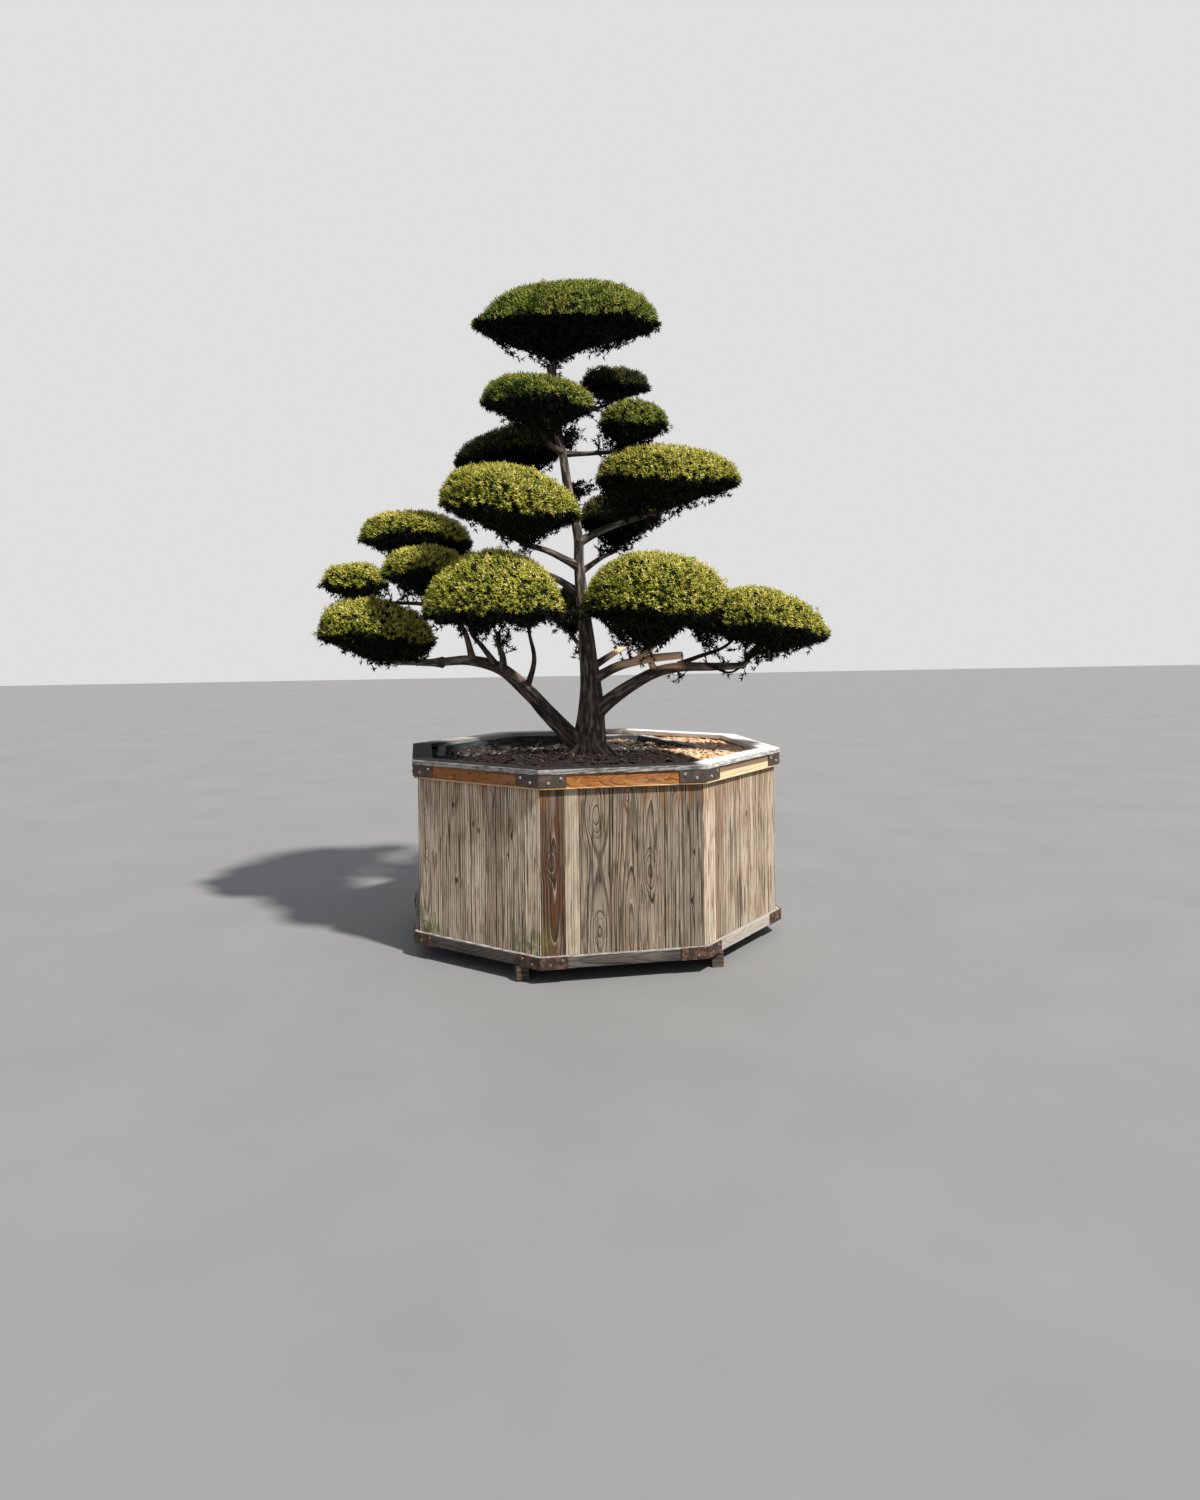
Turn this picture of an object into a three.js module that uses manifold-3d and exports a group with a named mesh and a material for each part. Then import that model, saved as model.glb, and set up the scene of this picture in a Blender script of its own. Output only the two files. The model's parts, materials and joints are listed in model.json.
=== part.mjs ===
// A cloud-pruned Japanese yew growing in an octagonal timber planter box.
// Millimetres, +Z up. The origin is on the ground under the middle of the box, whose front side faces -Y.
import * as THREE from "three";
import { mergeVertices } from "three/addons/utils/BufferGeometryUtils.js";
import Module from "manifold-3d";

const wasm = await Module();
wasm.setup();

// Clearance between pieces that touch.
const GAP = 0.35;
// Longest sliver that a cut surface may lose.
const SLIVER = 0.02;

// Planter box. Each apothem is measured from the middle of the box to the middle of a side.
const SIDES = 8;
const CAP_OUTER = 845;
const CAP_WIDTH = 90;
const CAP_THICKNESS = 21;
const CAP_TOP = 863;
const BOARD_OUTER = 820;
const BOARD_THICKNESS = 26;
const BOARDS_PER_SIDE = 6;
const GROOVE_WIDTH = 5;
const GROOVE_DEPTH = 5;
const RAIL_OUTER = 838;
const UPPER_RAIL_HEIGHT = 60;
const LOWER_RAIL_HEIGHT = 50;
const PLATE_THICKNESS = 4;
const PLATE_LEG = 115;
const PLATE_HEIGHT = 50;
const BOLT_RADIUS = 7;
const BOLT_PROUD = 4;
const BOLT_SIDES = 4;
// Each bolt's place on a leg, as a share of its length from the free end and of its height.
const BOLT_PLACES = [[0.2, 0.68], [0.64, 0.34]];
const FLOOR_THICKNESS = 38;
const BEARER = { width: 50, height: 62, spacing: 410, length: 1540, middleLength: 1300 };

// Soil, and the frame of boards on edge that stands in it, open at the front.
const SOIL_SEGMENTS = 32;
const SOIL_RINGS = [0.22, 0.42, 0.6, 0.76, 0.91, 1];
const SOIL_EDGE_LEVEL = 835;
const SOIL_FRONT_LEVEL = 857;
const SOIL_LOW_LEVEL = 800;
const SOIL_CHIP = 4;
// Apothems between which the soil comes up to its level at the edge.
const SOIL_EDGE_BAND = [640, 735];
// Distances in from the line of the frame over which the soil falls to its low level.
const SOIL_LOW_BAND = [10, 70];
// Distances in front of the trunk over which the mulch heaps up, and how much less so away from it.
const HEAP_BAND = [90, 260];
const HEAP_CURVE = 0.12;
// Distances from the line of the frame over which the heap is cleared away.
const HEAP_CLEAR_BAND = [20, 90];
const FRAME_TOP = 850;
const FRAME_HEIGHT = 140;
const FRAME_BOARD = 36;
const FRAME_LINE = [[600, -300], [380, 590], [-290, 715], [-700, 300], [-715, -100]];

// Trunk, which stands in a plain hole in the soil.
const TRUNK_FOOT = 640;
const TRUNK_ROUTE = [
  [0, 0, TRUNK_FOOT],
  [0, 0, 840],
  [10, 0, 1080],
  [-10, 0, 1360],
  [-40, 10, 1710],
  [-45, 10, 1880],
  [-90, 20, 2110],
  [-110, 20, 2250],
  [-150, 30, 2490],
  [-165, 30, 2710],
];
const TRUNK_SHAPE = { start: 96, end: 20, power: 3, sides: 9, steps: 20, flutes: 0.09 };
const ROOTS = 4;
const ROOT_REACH = 230;
const ROOT_SHAPE = { start: 44, end: 16, steps: 4 };
// A root's course: each place as a share of its reach and a level.
const ROOT_COURSE = [[0, 930], [0.3, 850], [0.62, 800], [1, 740]];

// Foliage tufts: how far they stand out of the core of a head, on top and below.
const TUFT_RISE = 34;
// How much of a tuft shows past the core at the rim.
const RIM_TUFT = 20;
// A head's outline in plan: each wave's count round the rim, its depth as a share, and its phase.
const LOBES = [[2, 0.02, 1], [3, 0.03, 2]];
// Uneven clipping of a head's rim, and the low swells over its top with their lengths.
const ROUGHNESS = 0.05;
const SWELL = { height: 0.07, alongX: 70, alongY: 60 };
// The clipped heads are bare of needles below, where faces point down further than this.
const BARE_BELOW = -0.3;
// Share of a head's tufts that faces down.
const UNDERSIDE_SHARE = 0.3;
const TWIG = { start: 6, end: 4, sides: 3, steps: 1 };
const TWIG_SPACING = 150;
const KNOT_RADIUS = 15;

const BARK = { color: 0x4d443b, roughness: 0.95, metalness: 0 };
const LEAF_SUNLIT = { color: 0x7d8530, roughness: 0.9, metalness: 0 };
const LEAF_GREEN = { color: 0x4f6b1e, roughness: 0.9, metalness: 0 };
const LEAF_DARK = { color: 0x2c3a17, roughness: 0.9, metalness: 0 };
const CAP_WOOD = { color: 0x8c8a88, roughness: 0.85, metalness: 0 };
const UPPER_RAIL_WOOD = { color: 0xb9803d, roughness: 0.7, metalness: 0 };
const LOWER_RAIL_WOOD = { color: 0x77736c, roughness: 0.85, metalness: 0 };
const BOARD_WOOD = { color: 0x9b8b78, roughness: 0.85, metalness: 0 };
const HIDDEN_WOOD = { color: 0x5e4c3d, roughness: 0.9, metalness: 0 };
const UPPER_STEEL = { color: 0x4b4443, roughness: 0.6, metalness: 0.7 };
const LOWER_STEEL = { color: 0x5a3c33, roughness: 0.8, metalness: 0.4 };
const SOIL = { color: 0x3e332d, roughness: 1, metalness: 0 };

// Foliage heads: place of the rim's middle, half width, half depth, rise over the rim, drop under it,
// tilt to the right in degrees, how finely the tufts are set, colour, and the route of the branch that
// carries the head, from inside the wood that it grows from to the knot where its twigs part.
const HEADS = {
  head_crown: {
    at: [-105, 20, 2888], half: [455, 410], rise: 197, drop: 72, tilt: -4, fine: 4, leaf: LEAF_GREEN,
    branch: [[-165, 30, 2600], [-160, 30, 2680], [-145, 25, 2745]], start: 20, end: 13,
  },
  head_upper_front: {
    at: [-270, -305, 2475], half: [278, 232], rise: 112, drop: 85, tilt: 2, fine: 2, leaf: LEAF_GREEN,
    branch: [[-120, 22, 2290], [-190, -90, 2305], [-255, -255, 2345]], start: 13, end: 8,
  },
  head_upper_back: {
    at: [210, 420, 2742], half: [188, 160], rise: 84, drop: 70, tilt: 2, fine: 1, leaf: LEAF_DARK,
    branch: [[-142, 28, 2420], [30, 200, 2530], [190, 375, 2628]], start: 13, end: 7,
  },
  head_upper_right: {
    at: [225, 10, 2450], half: [190, 168], rise: 110, drop: 85, tilt: 0, fine: 1, leaf: LEAF_GREEN,
    branch: [[-115, 20, 2280], [40, 12, 2288], [180, 8, 2312]], start: 13, end: 8,
  },
  head_back_left: {
    at: [-330, 525, 2380], half: [315, 255], rise: 140, drop: 80, tilt: -11, fine: 2, leaf: LEAF_DARK,
    branch: [[-90, 20, 2100], [-180, 230, 2170], [-320, 460, 2245]], start: 17, end: 9,
  },
  head_middle_left: {
    at: [-405, -380, 2003], half: [332, 275], rise: 160, drop: 100, tilt: 9, fine: 3, leaf: LEAF_SUNLIT,
    branch: [[-45, 10, 1730], [-200, -70, 1785], [-320, -200, 1805], [-390, -330, 1838]], start: 18, end: 9,
  },
  head_middle_right: {
    at: [403, 10, 2190], half: [380, 285], rise: 157, drop: 92, tilt: 1, fine: 3, leaf: LEAF_SUNLIT,
    branch: [[-48, 10, 1850], [120, 20, 1930], [290, 20, 1985], [390, 15, 2020]], start: 19, end: 10,
  },
  head_right_under: {
    at: [265, 515, 2045], half: [255, 198], rise: 150, drop: 95, tilt: -4, fine: 1, leaf: LEAF_DARK,
    branch: [[-42, 10, 1700], [100, 210, 1790], [240, 450, 1870]], start: 16, end: 8,
  },
  head_left_top: {
    at: [-820, 410, 1930], half: [298, 242], rise: 122, drop: 95, tilt: 3, fine: 2, leaf: LEAF_SUNLIT,
    branch: [[-35, 8, 1600], [-160, 120, 1690], [-400, 290, 1760], [-640, 390, 1775], [-770, 410, 1785]],
    start: 19, end: 10,
  },
  head_left_inner: {
    at: [-775, 95, 1725], half: [238, 208], rise: 122, drop: 85, tilt: 3, fine: 2, leaf: LEAF_SUNLIT,
    branch: [[-560, -30, 1285], [-600, 20, 1430], [-670, 50, 1520], [-740, 80, 1588]], start: 15, end: 9,
  },
  head_left_tip: {
    at: [-1145, 325, 1680], half: [165, 145], rise: 104, drop: 66, tilt: -2, fine: 1, leaf: LEAF_SUNLIT,
    branch: [[-668, 50, 1520], [-790, 190, 1560], [-980, 300, 1572], [-1100, 322, 1588]], start: 11, end: 7,
  },
  head_left_low: {
    at: [-1020, 295, 1445], half: [310, 258], rise: 158, drop: 112, tilt: 9, fine: 2, leaf: LEAF_SUNLIT,
    branch: [[-700, 80, 1276], [-830, 180, 1275], [-960, 260, 1288]], start: 19, end: 11,
  },
  head_front: {
    at: [-485, -415, 1542], half: [330, 275], rise: 245, drop: 105, tilt: -2, fine: 3, leaf: LEAF_SUNLIT,
    branch: [[-420, -75, 1235], [-435, -200, 1310], [-465, -350, 1375]], start: 17, end: 10,
  },
  head_back_low: {
    at: [-10, 530, 1545], half: [150, 140], rise: 130, drop: 80, tilt: 0, fine: 1, leaf: LEAF_DARK,
    branch: [[-10, 0, 1290], [-15, 220, 1355], [-10, 470, 1410]], start: 15, end: 8,
  },
  head_back_right: {
    at: [480, 480, 1600], half: [250, 215], rise: 110, drop: 85, tilt: 3, fine: 1, leaf: LEAF_DARK,
    branch: [[-5, 0, 1230], [180, 180, 1320], [350, 360, 1395], [440, 450, 1445]], start: 18, end: 9,
  },
};
// Two heads on the right that have grown into one mass.
const RIGHT_PAIR = [
  {
    at: [265, -305, 1570], half: [352, 312], rise: 222, drop: 110, tilt: 3, fine: 3,
    branch: [[0, 0, 1170], [90, -60, 1225], [190, -150, 1275], [255, -265, 1345]], start: 22, end: 11,
  },
  {
    at: [775, -350, 1450], half: [318, 272], rise: 205, drop: 105, tilt: 12, fine: 2,
    branch: [[20, 0, 1040], [100, -40, 1110], [190, -80, 1175], [300, -140, 1235], [400, -200, 1258],
      [560, -290, 1255], [690, -335, 1262]],
    start: 32, end: 13, sides: 6, steps: 9,
  },
];

// The heavy limb that leaves the foot of the trunk to the left, and forks off it that carry no head alone.
const LIMB = {
  route: [[-40, 0, 860], [-110, -8, 930], [-200, -20, 1020], [-310, -60, 1140], [-430, -80, 1245],
    [-560, -30, 1285], [-720, 95, 1277]],
  start: 46, end: 19, sides: 7, steps: 11,
};
const FORKS = [
  {
    route: [[-440, -75, 1245], [-520, -130, 1350], [-580, -270, 1420], [-590, -370, 1500]],
    start: 15, end: 5,
  },
  {
    route: [[-310, -60, 1145], [-285, -170, 1280], [-320, -320, 1400], [-350, -400, 1500]],
    start: 15, end: 5,
  },
  {
    route: [[30, 0, 1190], [200, -140, 1272], [390, -280, 1300], [460, -330, 1400]],
    start: 20, end: 6,
  },
  {
    route: [[400, -200, 1258], [500, -170, 1290], [620, -230, 1340], [690, -280, 1420]],
    start: 12, end: 5,
  },
];

// A repeatable random number from 0 to 1.
let seed = 20;
function random() {
  seed = (seed * 16807) % 2147483647;
  return seed / 2147483647;
}

// A copy of a geometry that holds nothing but its points.
function bare(geometry) {
  const plain = geometry.clone();
  plain.deleteAttribute("normal");
  plain.deleteAttribute("uv");
  return plain;
}

function solid(geometry) {
  const merged = mergeVertices(bare(geometry), 1e-3);
  return new wasm.Manifold(new wasm.Mesh({
    numProp: 3,
    vertProperties: Float32Array.from(merged.attributes.position.array),
    triVerts: Uint32Array.from(merged.index.array),
  }));
}

function geometryOf(manifold) {
  const mesh = manifold.simplify(SLIVER).getMesh();
  const geometry = new THREE.BufferGeometry();
  geometry.setAttribute("position", new THREE.BufferAttribute(mesh.vertProperties, 3));
  geometry.setIndex(new THREE.BufferAttribute(mesh.triVerts, 1));
  geometry.computeVertexNormals();
  return geometry;
}

function join(solids) {
  return solids.reduce((whole, next) => whole.add(next));
}

const group = new THREE.Group();
function add(name, geometry, look) {
  const mesh = new THREE.Mesh(geometry, new THREE.MeshStandardMaterial(look));
  mesh.name = name;
  group.add(mesh);
  return mesh;
}

// A shape in plan, raised from one level to another.
function raise(outline, from, to, hole) {
  const shape = new THREE.Shape(outline.map(([x, y]) => new THREE.Vector2(x, y)));
  if (hole) shape.holes.push(new THREE.Path(hole.map(([x, y]) => new THREE.Vector2(x, y))));
  const geometry = new THREE.ExtrudeGeometry(shape, { depth: to - from, bevelEnabled: false });
  return geometry.translate(0, 0, from);
}

const HALF_SIDE = Math.PI / SIDES;
const DEGREE = Math.PI / 180;
function octagon(apothem) {
  const corners = [];
  for (let i = 0; i < SIDES; i += 1) {
    const angle = -Math.PI / 2 + HALF_SIDE * (2 * i + 1);
    const radius = apothem / Math.cos(HALF_SIDE);
    corners.push([radius * Math.cos(angle), radius * Math.sin(angle)]);
  }
  return corners;
}

// Half the length of a side at this apothem.
function halfLength(apothem) {
  return apothem * Math.tan(HALF_SIDE);
}

function onSide(mesh, side) {
  mesh.rotation.z = 2 * HALF_SIDE * side;
}

// A point on a side, at this distance to the right of the side's middle, seen from outside.
function sidePoint(side, along, apothem) {
  const turn = 2 * HALF_SIDE * side;
  return [
    along * Math.cos(turn) + apothem * Math.sin(turn),
    along * Math.sin(turn) - apothem * Math.cos(turn),
  ];
}

// Flat boards on top, mitred at the corners.
function capBoard(side) {
  const inner = CAP_OUTER - CAP_WIDTH;
  const mitre = GAP / Math.cos(HALF_SIDE);
  const outerHalf = halfLength(CAP_OUTER) - mitre;
  const innerHalf = halfLength(inner) - mitre;
  const outline = [
    [-outerHalf, -CAP_OUTER],
    [outerHalf, -CAP_OUTER],
    [innerHalf, -inner],
    [-innerHalf, -inner],
  ];
  const board = raise(outline, CAP_TOP - CAP_THICKNESS, CAP_TOP);
  onSide(add(`cap_board_${side + 1}`, board, CAP_WOOD), side);
}

// A rail round the box, over the ends of the side boards.
function rail(name, from, to, look) {
  add(name, raise(octagon(RAIL_OUTER), from, to, octagon(BOARD_OUTER + GAP)), look);
}

// Six upright boards side by side, with a groove at each joint.
function sideBoards(side) {
  const inner = BOARD_OUTER - BOARD_THICKNESS;
  const mitre = GAP / Math.cos(HALF_SIDE);
  const outerHalf = halfLength(BOARD_OUTER) - mitre;
  const innerHalf = halfLength(inner) - mitre;
  const outline = [[-outerHalf, -BOARD_OUTER]];
  for (let i = 1; i < BOARDS_PER_SIDE; i += 1) {
    const joint = -outerHalf + (2 * outerHalf * i) / BOARDS_PER_SIDE;
    outline.push([joint - GROOVE_WIDTH / 2, -BOARD_OUTER]);
    outline.push([joint, -BOARD_OUTER + GROOVE_DEPTH]);
    outline.push([joint + GROOVE_WIDTH / 2, -BOARD_OUTER]);
  }
  outline.push([outerHalf, -BOARD_OUTER], [innerHalf, -inner], [-innerHalf, -inner]);
  const geometry = raise(outline, BEARER.height + GAP, CAP_TOP - CAP_THICKNESS - GAP);
  onSide(add(`side_boards_${side + 1}`, geometry, BOARD_WOOD), side);
}

// A steel plate bent round the corner between a side and the next, with two bolts in each leg.
function cornerPlate(name, corner, from, look) {
  const back = RAIL_OUTER + GAP;
  const face = back + PLATE_THICKNESS;
  const end = halfLength(face) - PLATE_LEG;
  const boltLength = BOLT_PROUD + PLATE_THICKNESS;
  const boltMiddle = back + PLATE_THICKNESS / 2 + boltLength / 2;
  const outline = [
    sidePoint(0, end, face),
    sidePoint(0, halfLength(face), face),
    sidePoint(1, -end, face),
    sidePoint(1, -end, back),
    sidePoint(0, halfLength(back), back),
    sidePoint(0, end, back),
  ];
  const bolts = [];
  [0, 1].forEach((leg) => {
    BOLT_PLACES.forEach(([share, height]) => {
      const bolt = new THREE.CylinderGeometry(BOLT_RADIUS, BOLT_RADIUS, boltLength, BOLT_SIDES);
      const along = end + PLATE_LEG * share;
      bolt.translate(leg ? -along : along, -boltMiddle, 0);
      bolt.rotateZ(2 * HALF_SIDE * leg).translate(0, 0, from + PLATE_HEIGHT * height);
      bolts.push(solid(bolt));
    });
  });
  const plate = join([solid(raise(outline, from, from + PLATE_HEIGHT)), ...bolts]);
  onSide(add(name, geometryOf(plate), look), corner);
}

// Timbers under the box, from front to back. The middle one stops short of the front edge.
function bearers() {
  [["left", -1], ["middle", 0], ["right", 1]].forEach(([place, step]) => {
    const length = step ? BEARER.length : BEARER.middleLength;
    const timber = new THREE.BoxGeometry(BEARER.width, length, BEARER.height);
    timber.translate(0, 0, BEARER.height / 2);
    add(`bearer_${place}`, timber, HIDDEN_WOOD).position.x = step * BEARER.spacing;
  });
}

function floor() {
  const reach = BOARD_OUTER - BOARD_THICKNESS - GAP;
  const from = BEARER.height + GAP;
  add("box_floor", raise(octagon(reach), from, from + FLOOR_THICKNESS), HIDDEN_WOOD);
}

// The outline of a strip of this width along a line with corners.
function strip(line, width) {
  const sides = [1, -1].map((hand) => line.map((corner, i) => {
    const before = line[Math.max(i - 1, 0)];
    const after = line[Math.min(i + 1, line.length - 1)];
    const toward = [[before, corner], [corner, after]].map(([[ax, ay], [bx, by]]) => {
      const length = Math.hypot(bx - ax, by - ay);
      return length ? [(by - ay) / length, (ax - bx) / length] : null;
    }).filter(Boolean);
    const [n1, n2] = [toward[0], toward[toward.length - 1]];
    const reach = (hand * width) / 2 / ((1 + n1[0] * n2[0] + n1[1] * n2[1]) || 1);
    return [corner[0] + (n1[0] + n2[0]) * reach, corner[1] + (n1[1] + n2[1]) * reach];
  }));
  return [...sides[0], ...sides[1].reverse()];
}

// The boards on edge in the soil, as one frame. Grown, it is the slot that they stand in.
function frameShape(grow) {
  const from = FRAME_TOP - FRAME_HEIGHT - grow;
  return raise(strip(FRAME_LINE, FRAME_BOARD + 2 * grow), from, grow ? CAP_TOP : FRAME_TOP);
}

// How far a value has come through a band, from 0 to 1.
function blend(value, [from, to]) {
  return THREE.MathUtils.smoothstep(value, from, to);
}

// The apothem of the octagon that passes through a point.
function apothemAt(x, y) {
  let apothem = 0;
  for (let side = 0; side < SIDES; side += 1) {
    const turn = 2 * HALF_SIDE * side;
    apothem = Math.max(apothem, x * Math.sin(turn) - y * Math.cos(turn));
  }
  return apothem;
}

// How far a point lies inside the line of the frame, or outside it where this is below 0.
function insideFrame(x, y) {
  const distances = FRAME_LINE.slice(1).map(([bx, by], i) => {
    const [ax, ay] = FRAME_LINE[i];
    const length = Math.hypot(bx - ax, by - ay);
    return ((bx - ax) * (y - ay) - (by - ay) * (x - ax)) / length;
  });
  return Math.min(...distances);
}

// Soil level: low behind the trunk within the frame, and heaped up at the front, clear of the frame.
function soilLevel(x, y) {
  const inside = insideFrame(x, y);
  const low = blend(inside, SOIL_LOW_BAND);
  const clear = blend(Math.abs(inside), HEAP_CLEAR_BAND);
  const heap = blend(-y + HEAP_CURVE * Math.abs(x), HEAP_BAND) * clear;
  const edge = blend(apothemAt(x, y), SOIL_EDGE_BAND);
  const hollow = SOIL_EDGE_LEVEL + (SOIL_LOW_LEVEL - SOIL_EDGE_LEVEL) * low;
  const level = hollow + (SOIL_FRONT_LEVEL - hollow) * heap;
  return level + (SOIL_EDGE_LEVEL - level) * edge;
}

// The soil fills the box from its floor, with chips of bark as a relief of its top.
function soilShape() {
  const reach = BOARD_OUTER - BOARD_THICKNESS - GAP;
  const bottom = BEARER.height + FLOOR_THICKNESS + 2 * GAP;
  const profile = [[0, bottom], [1, bottom]];
  [...SOIL_RINGS].reverse().forEach((ring) => profile.push([ring, SOIL_EDGE_LEVEL]));
  profile.push([0, SOIL_EDGE_LEVEL]);
  const points = profile.map(([x, y]) => new THREE.Vector2(x, y));
  const lathe = new THREE.LatheGeometry(points, SOIL_SEGMENTS, HALF_SIDE);
  lathe.rotateX(Math.PI / 2);
  const place = lathe.attributes.position;
  const level = new Map();
  for (let i = 0; i < place.count; i += 1) {
    const around = Math.hypot(place.getX(i), place.getY(i));
    const scale = around ? (reach * around) / apothemAt(place.getX(i), place.getY(i)) : 0;
    const x = place.getX(i) * scale;
    const y = place.getY(i) * scale;
    let z = place.getZ(i);
    if (z > bottom + 1) {
      const key = `${Math.round(x)},${Math.round(y)}`;
      if (!level.has(key)) level.set(key, soilLevel(x, y) + (2 * random() - 1) * SOIL_CHIP);
      z = level.get(key);
    }
    place.setXYZ(i, x, y, z);
  }
  return solid(lathe);
}

// A tapered round bar along a smooth route. Grown, it is the hole that the bar passes through.
function bar(route, { start, end, power = 1, sides = 5, steps = 3, flutes = 0 }, grow) {
  const curve = new THREE.CatmullRomCurve3(route.map((point) => new THREE.Vector3(...point)));
  const frames = curve.computeFrenetFrames(steps);
  const shape = new THREE.CylinderGeometry(1, 1, 1, sides, steps);
  const margin = grow / Math.cos(Math.PI / sides);
  const place = shape.attributes.position;
  for (let i = 0; i < place.count; i += 1) {
    const share = place.getY(i) + 0.5;
    const step = Math.round(share * steps);
    const centre = curve.getPointAt(share);
    if (step === 0) centre.addScaledVector(frames.tangents[0], -margin);
    if (step === steps) centre.addScaledVector(frames.tangents[steps], margin);
    const around = Math.atan2(place.getZ(i), place.getX(i));
    const ripple = 1 + flutes * Math.sin(3 * around + 5 * share);
    const radius = (end + (start - end) * (1 - share) ** power) * ripple + margin;
    centre.addScaledVector(frames.normals[step], place.getX(i) * radius);
    centre.addScaledVector(frames.binormals[step], -place.getZ(i) * radius);
    place.setXYZ(i, ...centre);
  }
  return solid(shape);
}

function trunkParts(grow) {
  const parts = [bar(TRUNK_ROUTE, TRUNK_SHAPE, grow)];
  for (let i = 0; i < ROOTS; i += 1) {
    const angle = (2 * Math.PI * (i + 0.3)) / ROOTS;
    const reach = ROOT_REACH * (1 + 0.2 * Math.sin(5 * i));
    const route = ROOT_COURSE.map(([share, level]) => {
      const out = reach * share;
      return [out * Math.cos(angle), out * Math.sin(angle), level];
    });
    parts.push(bar(route, ROOT_SHAPE, grow));
  }
  return parts;
}

// Turns a point of a head that stands level at the origin to its place in the tree.
function inHead(head, x, y, z) {
  const turned = new THREE.Vector3(x, y, z).applyAxisAngle(new THREE.Vector3(0, 1, 0), head.tilt * DEGREE);
  return turned.add(new THREE.Vector3(...head.at));
}

// The core of a head: a ball spread into a dome with a shallow hollow underside and a lobed rim.
function headCore(head) {
  const ball = mergeVertices(bare(new THREE.IcosahedronGeometry(1, head.fine)), 1e-4);
  const place = ball.attributes.position;
  const split = 2 * UNDERSIDE_SHARE - 1;
  const phase = head.at[0];
  for (let i = 0; i < place.count; i += 1) {
    const up = place.getZ(i) > split;
    const share = up ? (place.getZ(i) - split) / (1 - split) : (split - place.getZ(i)) / (1 + split);
    const out = Math.sqrt(1 - share);
    const around = Math.atan2(place.getY(i), place.getX(i));
    let lobes = 1;
    LOBES.forEach(([waves, depth, turn]) => {
      lobes += depth * Math.sin(waves * around + turn * phase);
    });
    const rough = 1 + ROUGHNESS * (random() - 0.5);
    const x = (head.half[0] - RIM_TUFT) * out * lobes * rough * Math.cos(around);
    const y = (head.half[1] - RIM_TUFT) * out * lobes * rough * Math.sin(around);
    const swell = 1 + SWELL.height * Math.sin(x / SWELL.alongX + phase) * Math.sin(y / SWELL.alongY);
    const dome = (head.rise - TUFT_RISE) * Math.sqrt(share) * swell;
    const under = -head.drop * Math.sin(0.75 * Math.PI * Math.sqrt(share));
    place.setXYZ(i, x, y, up ? dome : under);
  }
  return ball;
}

// Raises a three-sided tuft on every face of the core, leaning outwards and a little up.
function tufted(core, head) {
  const corners = core.attributes.position;
  const faces = core.index;
  const points = Array.from(corners.array);
  const sides = [];
  const [a, b, c] = [new THREE.Vector3(), new THREE.Vector3(), new THREE.Vector3()];
  for (let i = 0; i < faces.count; i += 3) {
    const [ia, ib, ic] = [faces.getX(i), faces.getX(i + 1), faces.getX(i + 2)];
    a.fromBufferAttribute(corners, ia);
    b.fromBufferAttribute(corners, ib);
    c.fromBufferAttribute(corners, ic);
    const normal = new THREE.Triangle(a, b, c).getNormal(new THREE.Vector3());
    if (normal.z < BARE_BELOW) {
      sides.push(ia, ib, ic);
      continue;
    }
    const height = TUFT_RISE * (0.75 + 0.5 * random());
    const tip = new THREE.Vector3().add(a).add(b).add(c).divideScalar(3).addScaledVector(normal, height);
    const id = points.length / 3;
    points.push(tip.x, tip.y, tip.z);
    sides.push(ia, ib, id, ib, ic, id, ic, ia, id);
  }
  const geometry = new THREE.BufferGeometry();
  const placed = [];
  for (let i = 0; i < points.length; i += 3) {
    placed.push(...inHead(head, points[i], points[i + 1], points[i + 2]));
  }
  geometry.setAttribute("position", new THREE.Float32BufferAttribute(placed, 3));
  geometry.setIndex(sides);
  return solid(geometry);
}

// Bare twigs that fan up from the knot at the end of a branch into the underside of a head.
function twigs(head) {
  const count = Math.round((head.half[0] + head.half[1]) / TWIG_SPACING);
  const knot = head.branch[head.branch.length - 1];
  const routes = [];
  for (let i = 0; i < count; i += 1) {
    const angle = (2 * Math.PI * (i + 0.5 * random())) / count;
    const out = 0.4 + 0.3 * random();
    const x = head.half[0] * out * Math.cos(angle);
    const y = head.half[1] * out * Math.sin(angle);
    const tip = inHead(head, x, y, 0);
    routes.push([knot, [...tip]]);
  }
  return routes;
}

const allHeads = [...Object.values(HEADS), ...RIGHT_PAIR];
const fans = allHeads.flatMap(twigs);

function knot(head, grow) {
  const ball = new THREE.IcosahedronGeometry(KNOT_RADIUS + grow, 0);
  return solid(ball.translate(...head.branch[head.branch.length - 1]));
}

function wood(grow) {
  return [
    ...trunkParts(grow),
    bar(LIMB.route, LIMB, grow),
    ...FORKS.map((fork) => bar(fork.route, fork, grow)),
    ...allHeads.map((head) => bar(head.branch, head, grow)),
    ...allHeads.map((head) => knot(head, grow)),
    ...fans.map((route) => bar(route, TWIG, grow)),
  ];
}

const tree = join(wood(0));
const holes = join(wood(GAP));
add("trunk_and_branches", geometryOf(tree), BARK);
Object.entries(HEADS).forEach(([name, head]) => {
  add(name, geometryOf(tufted(headCore(head), head).subtract(holes)), head.leaf);
});
const pair = join(RIGHT_PAIR.map((head) => tufted(headCore(head), head)));
add("head_right_pair", geometryOf(pair.subtract(holes)), LEAF_SUNLIT);

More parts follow.
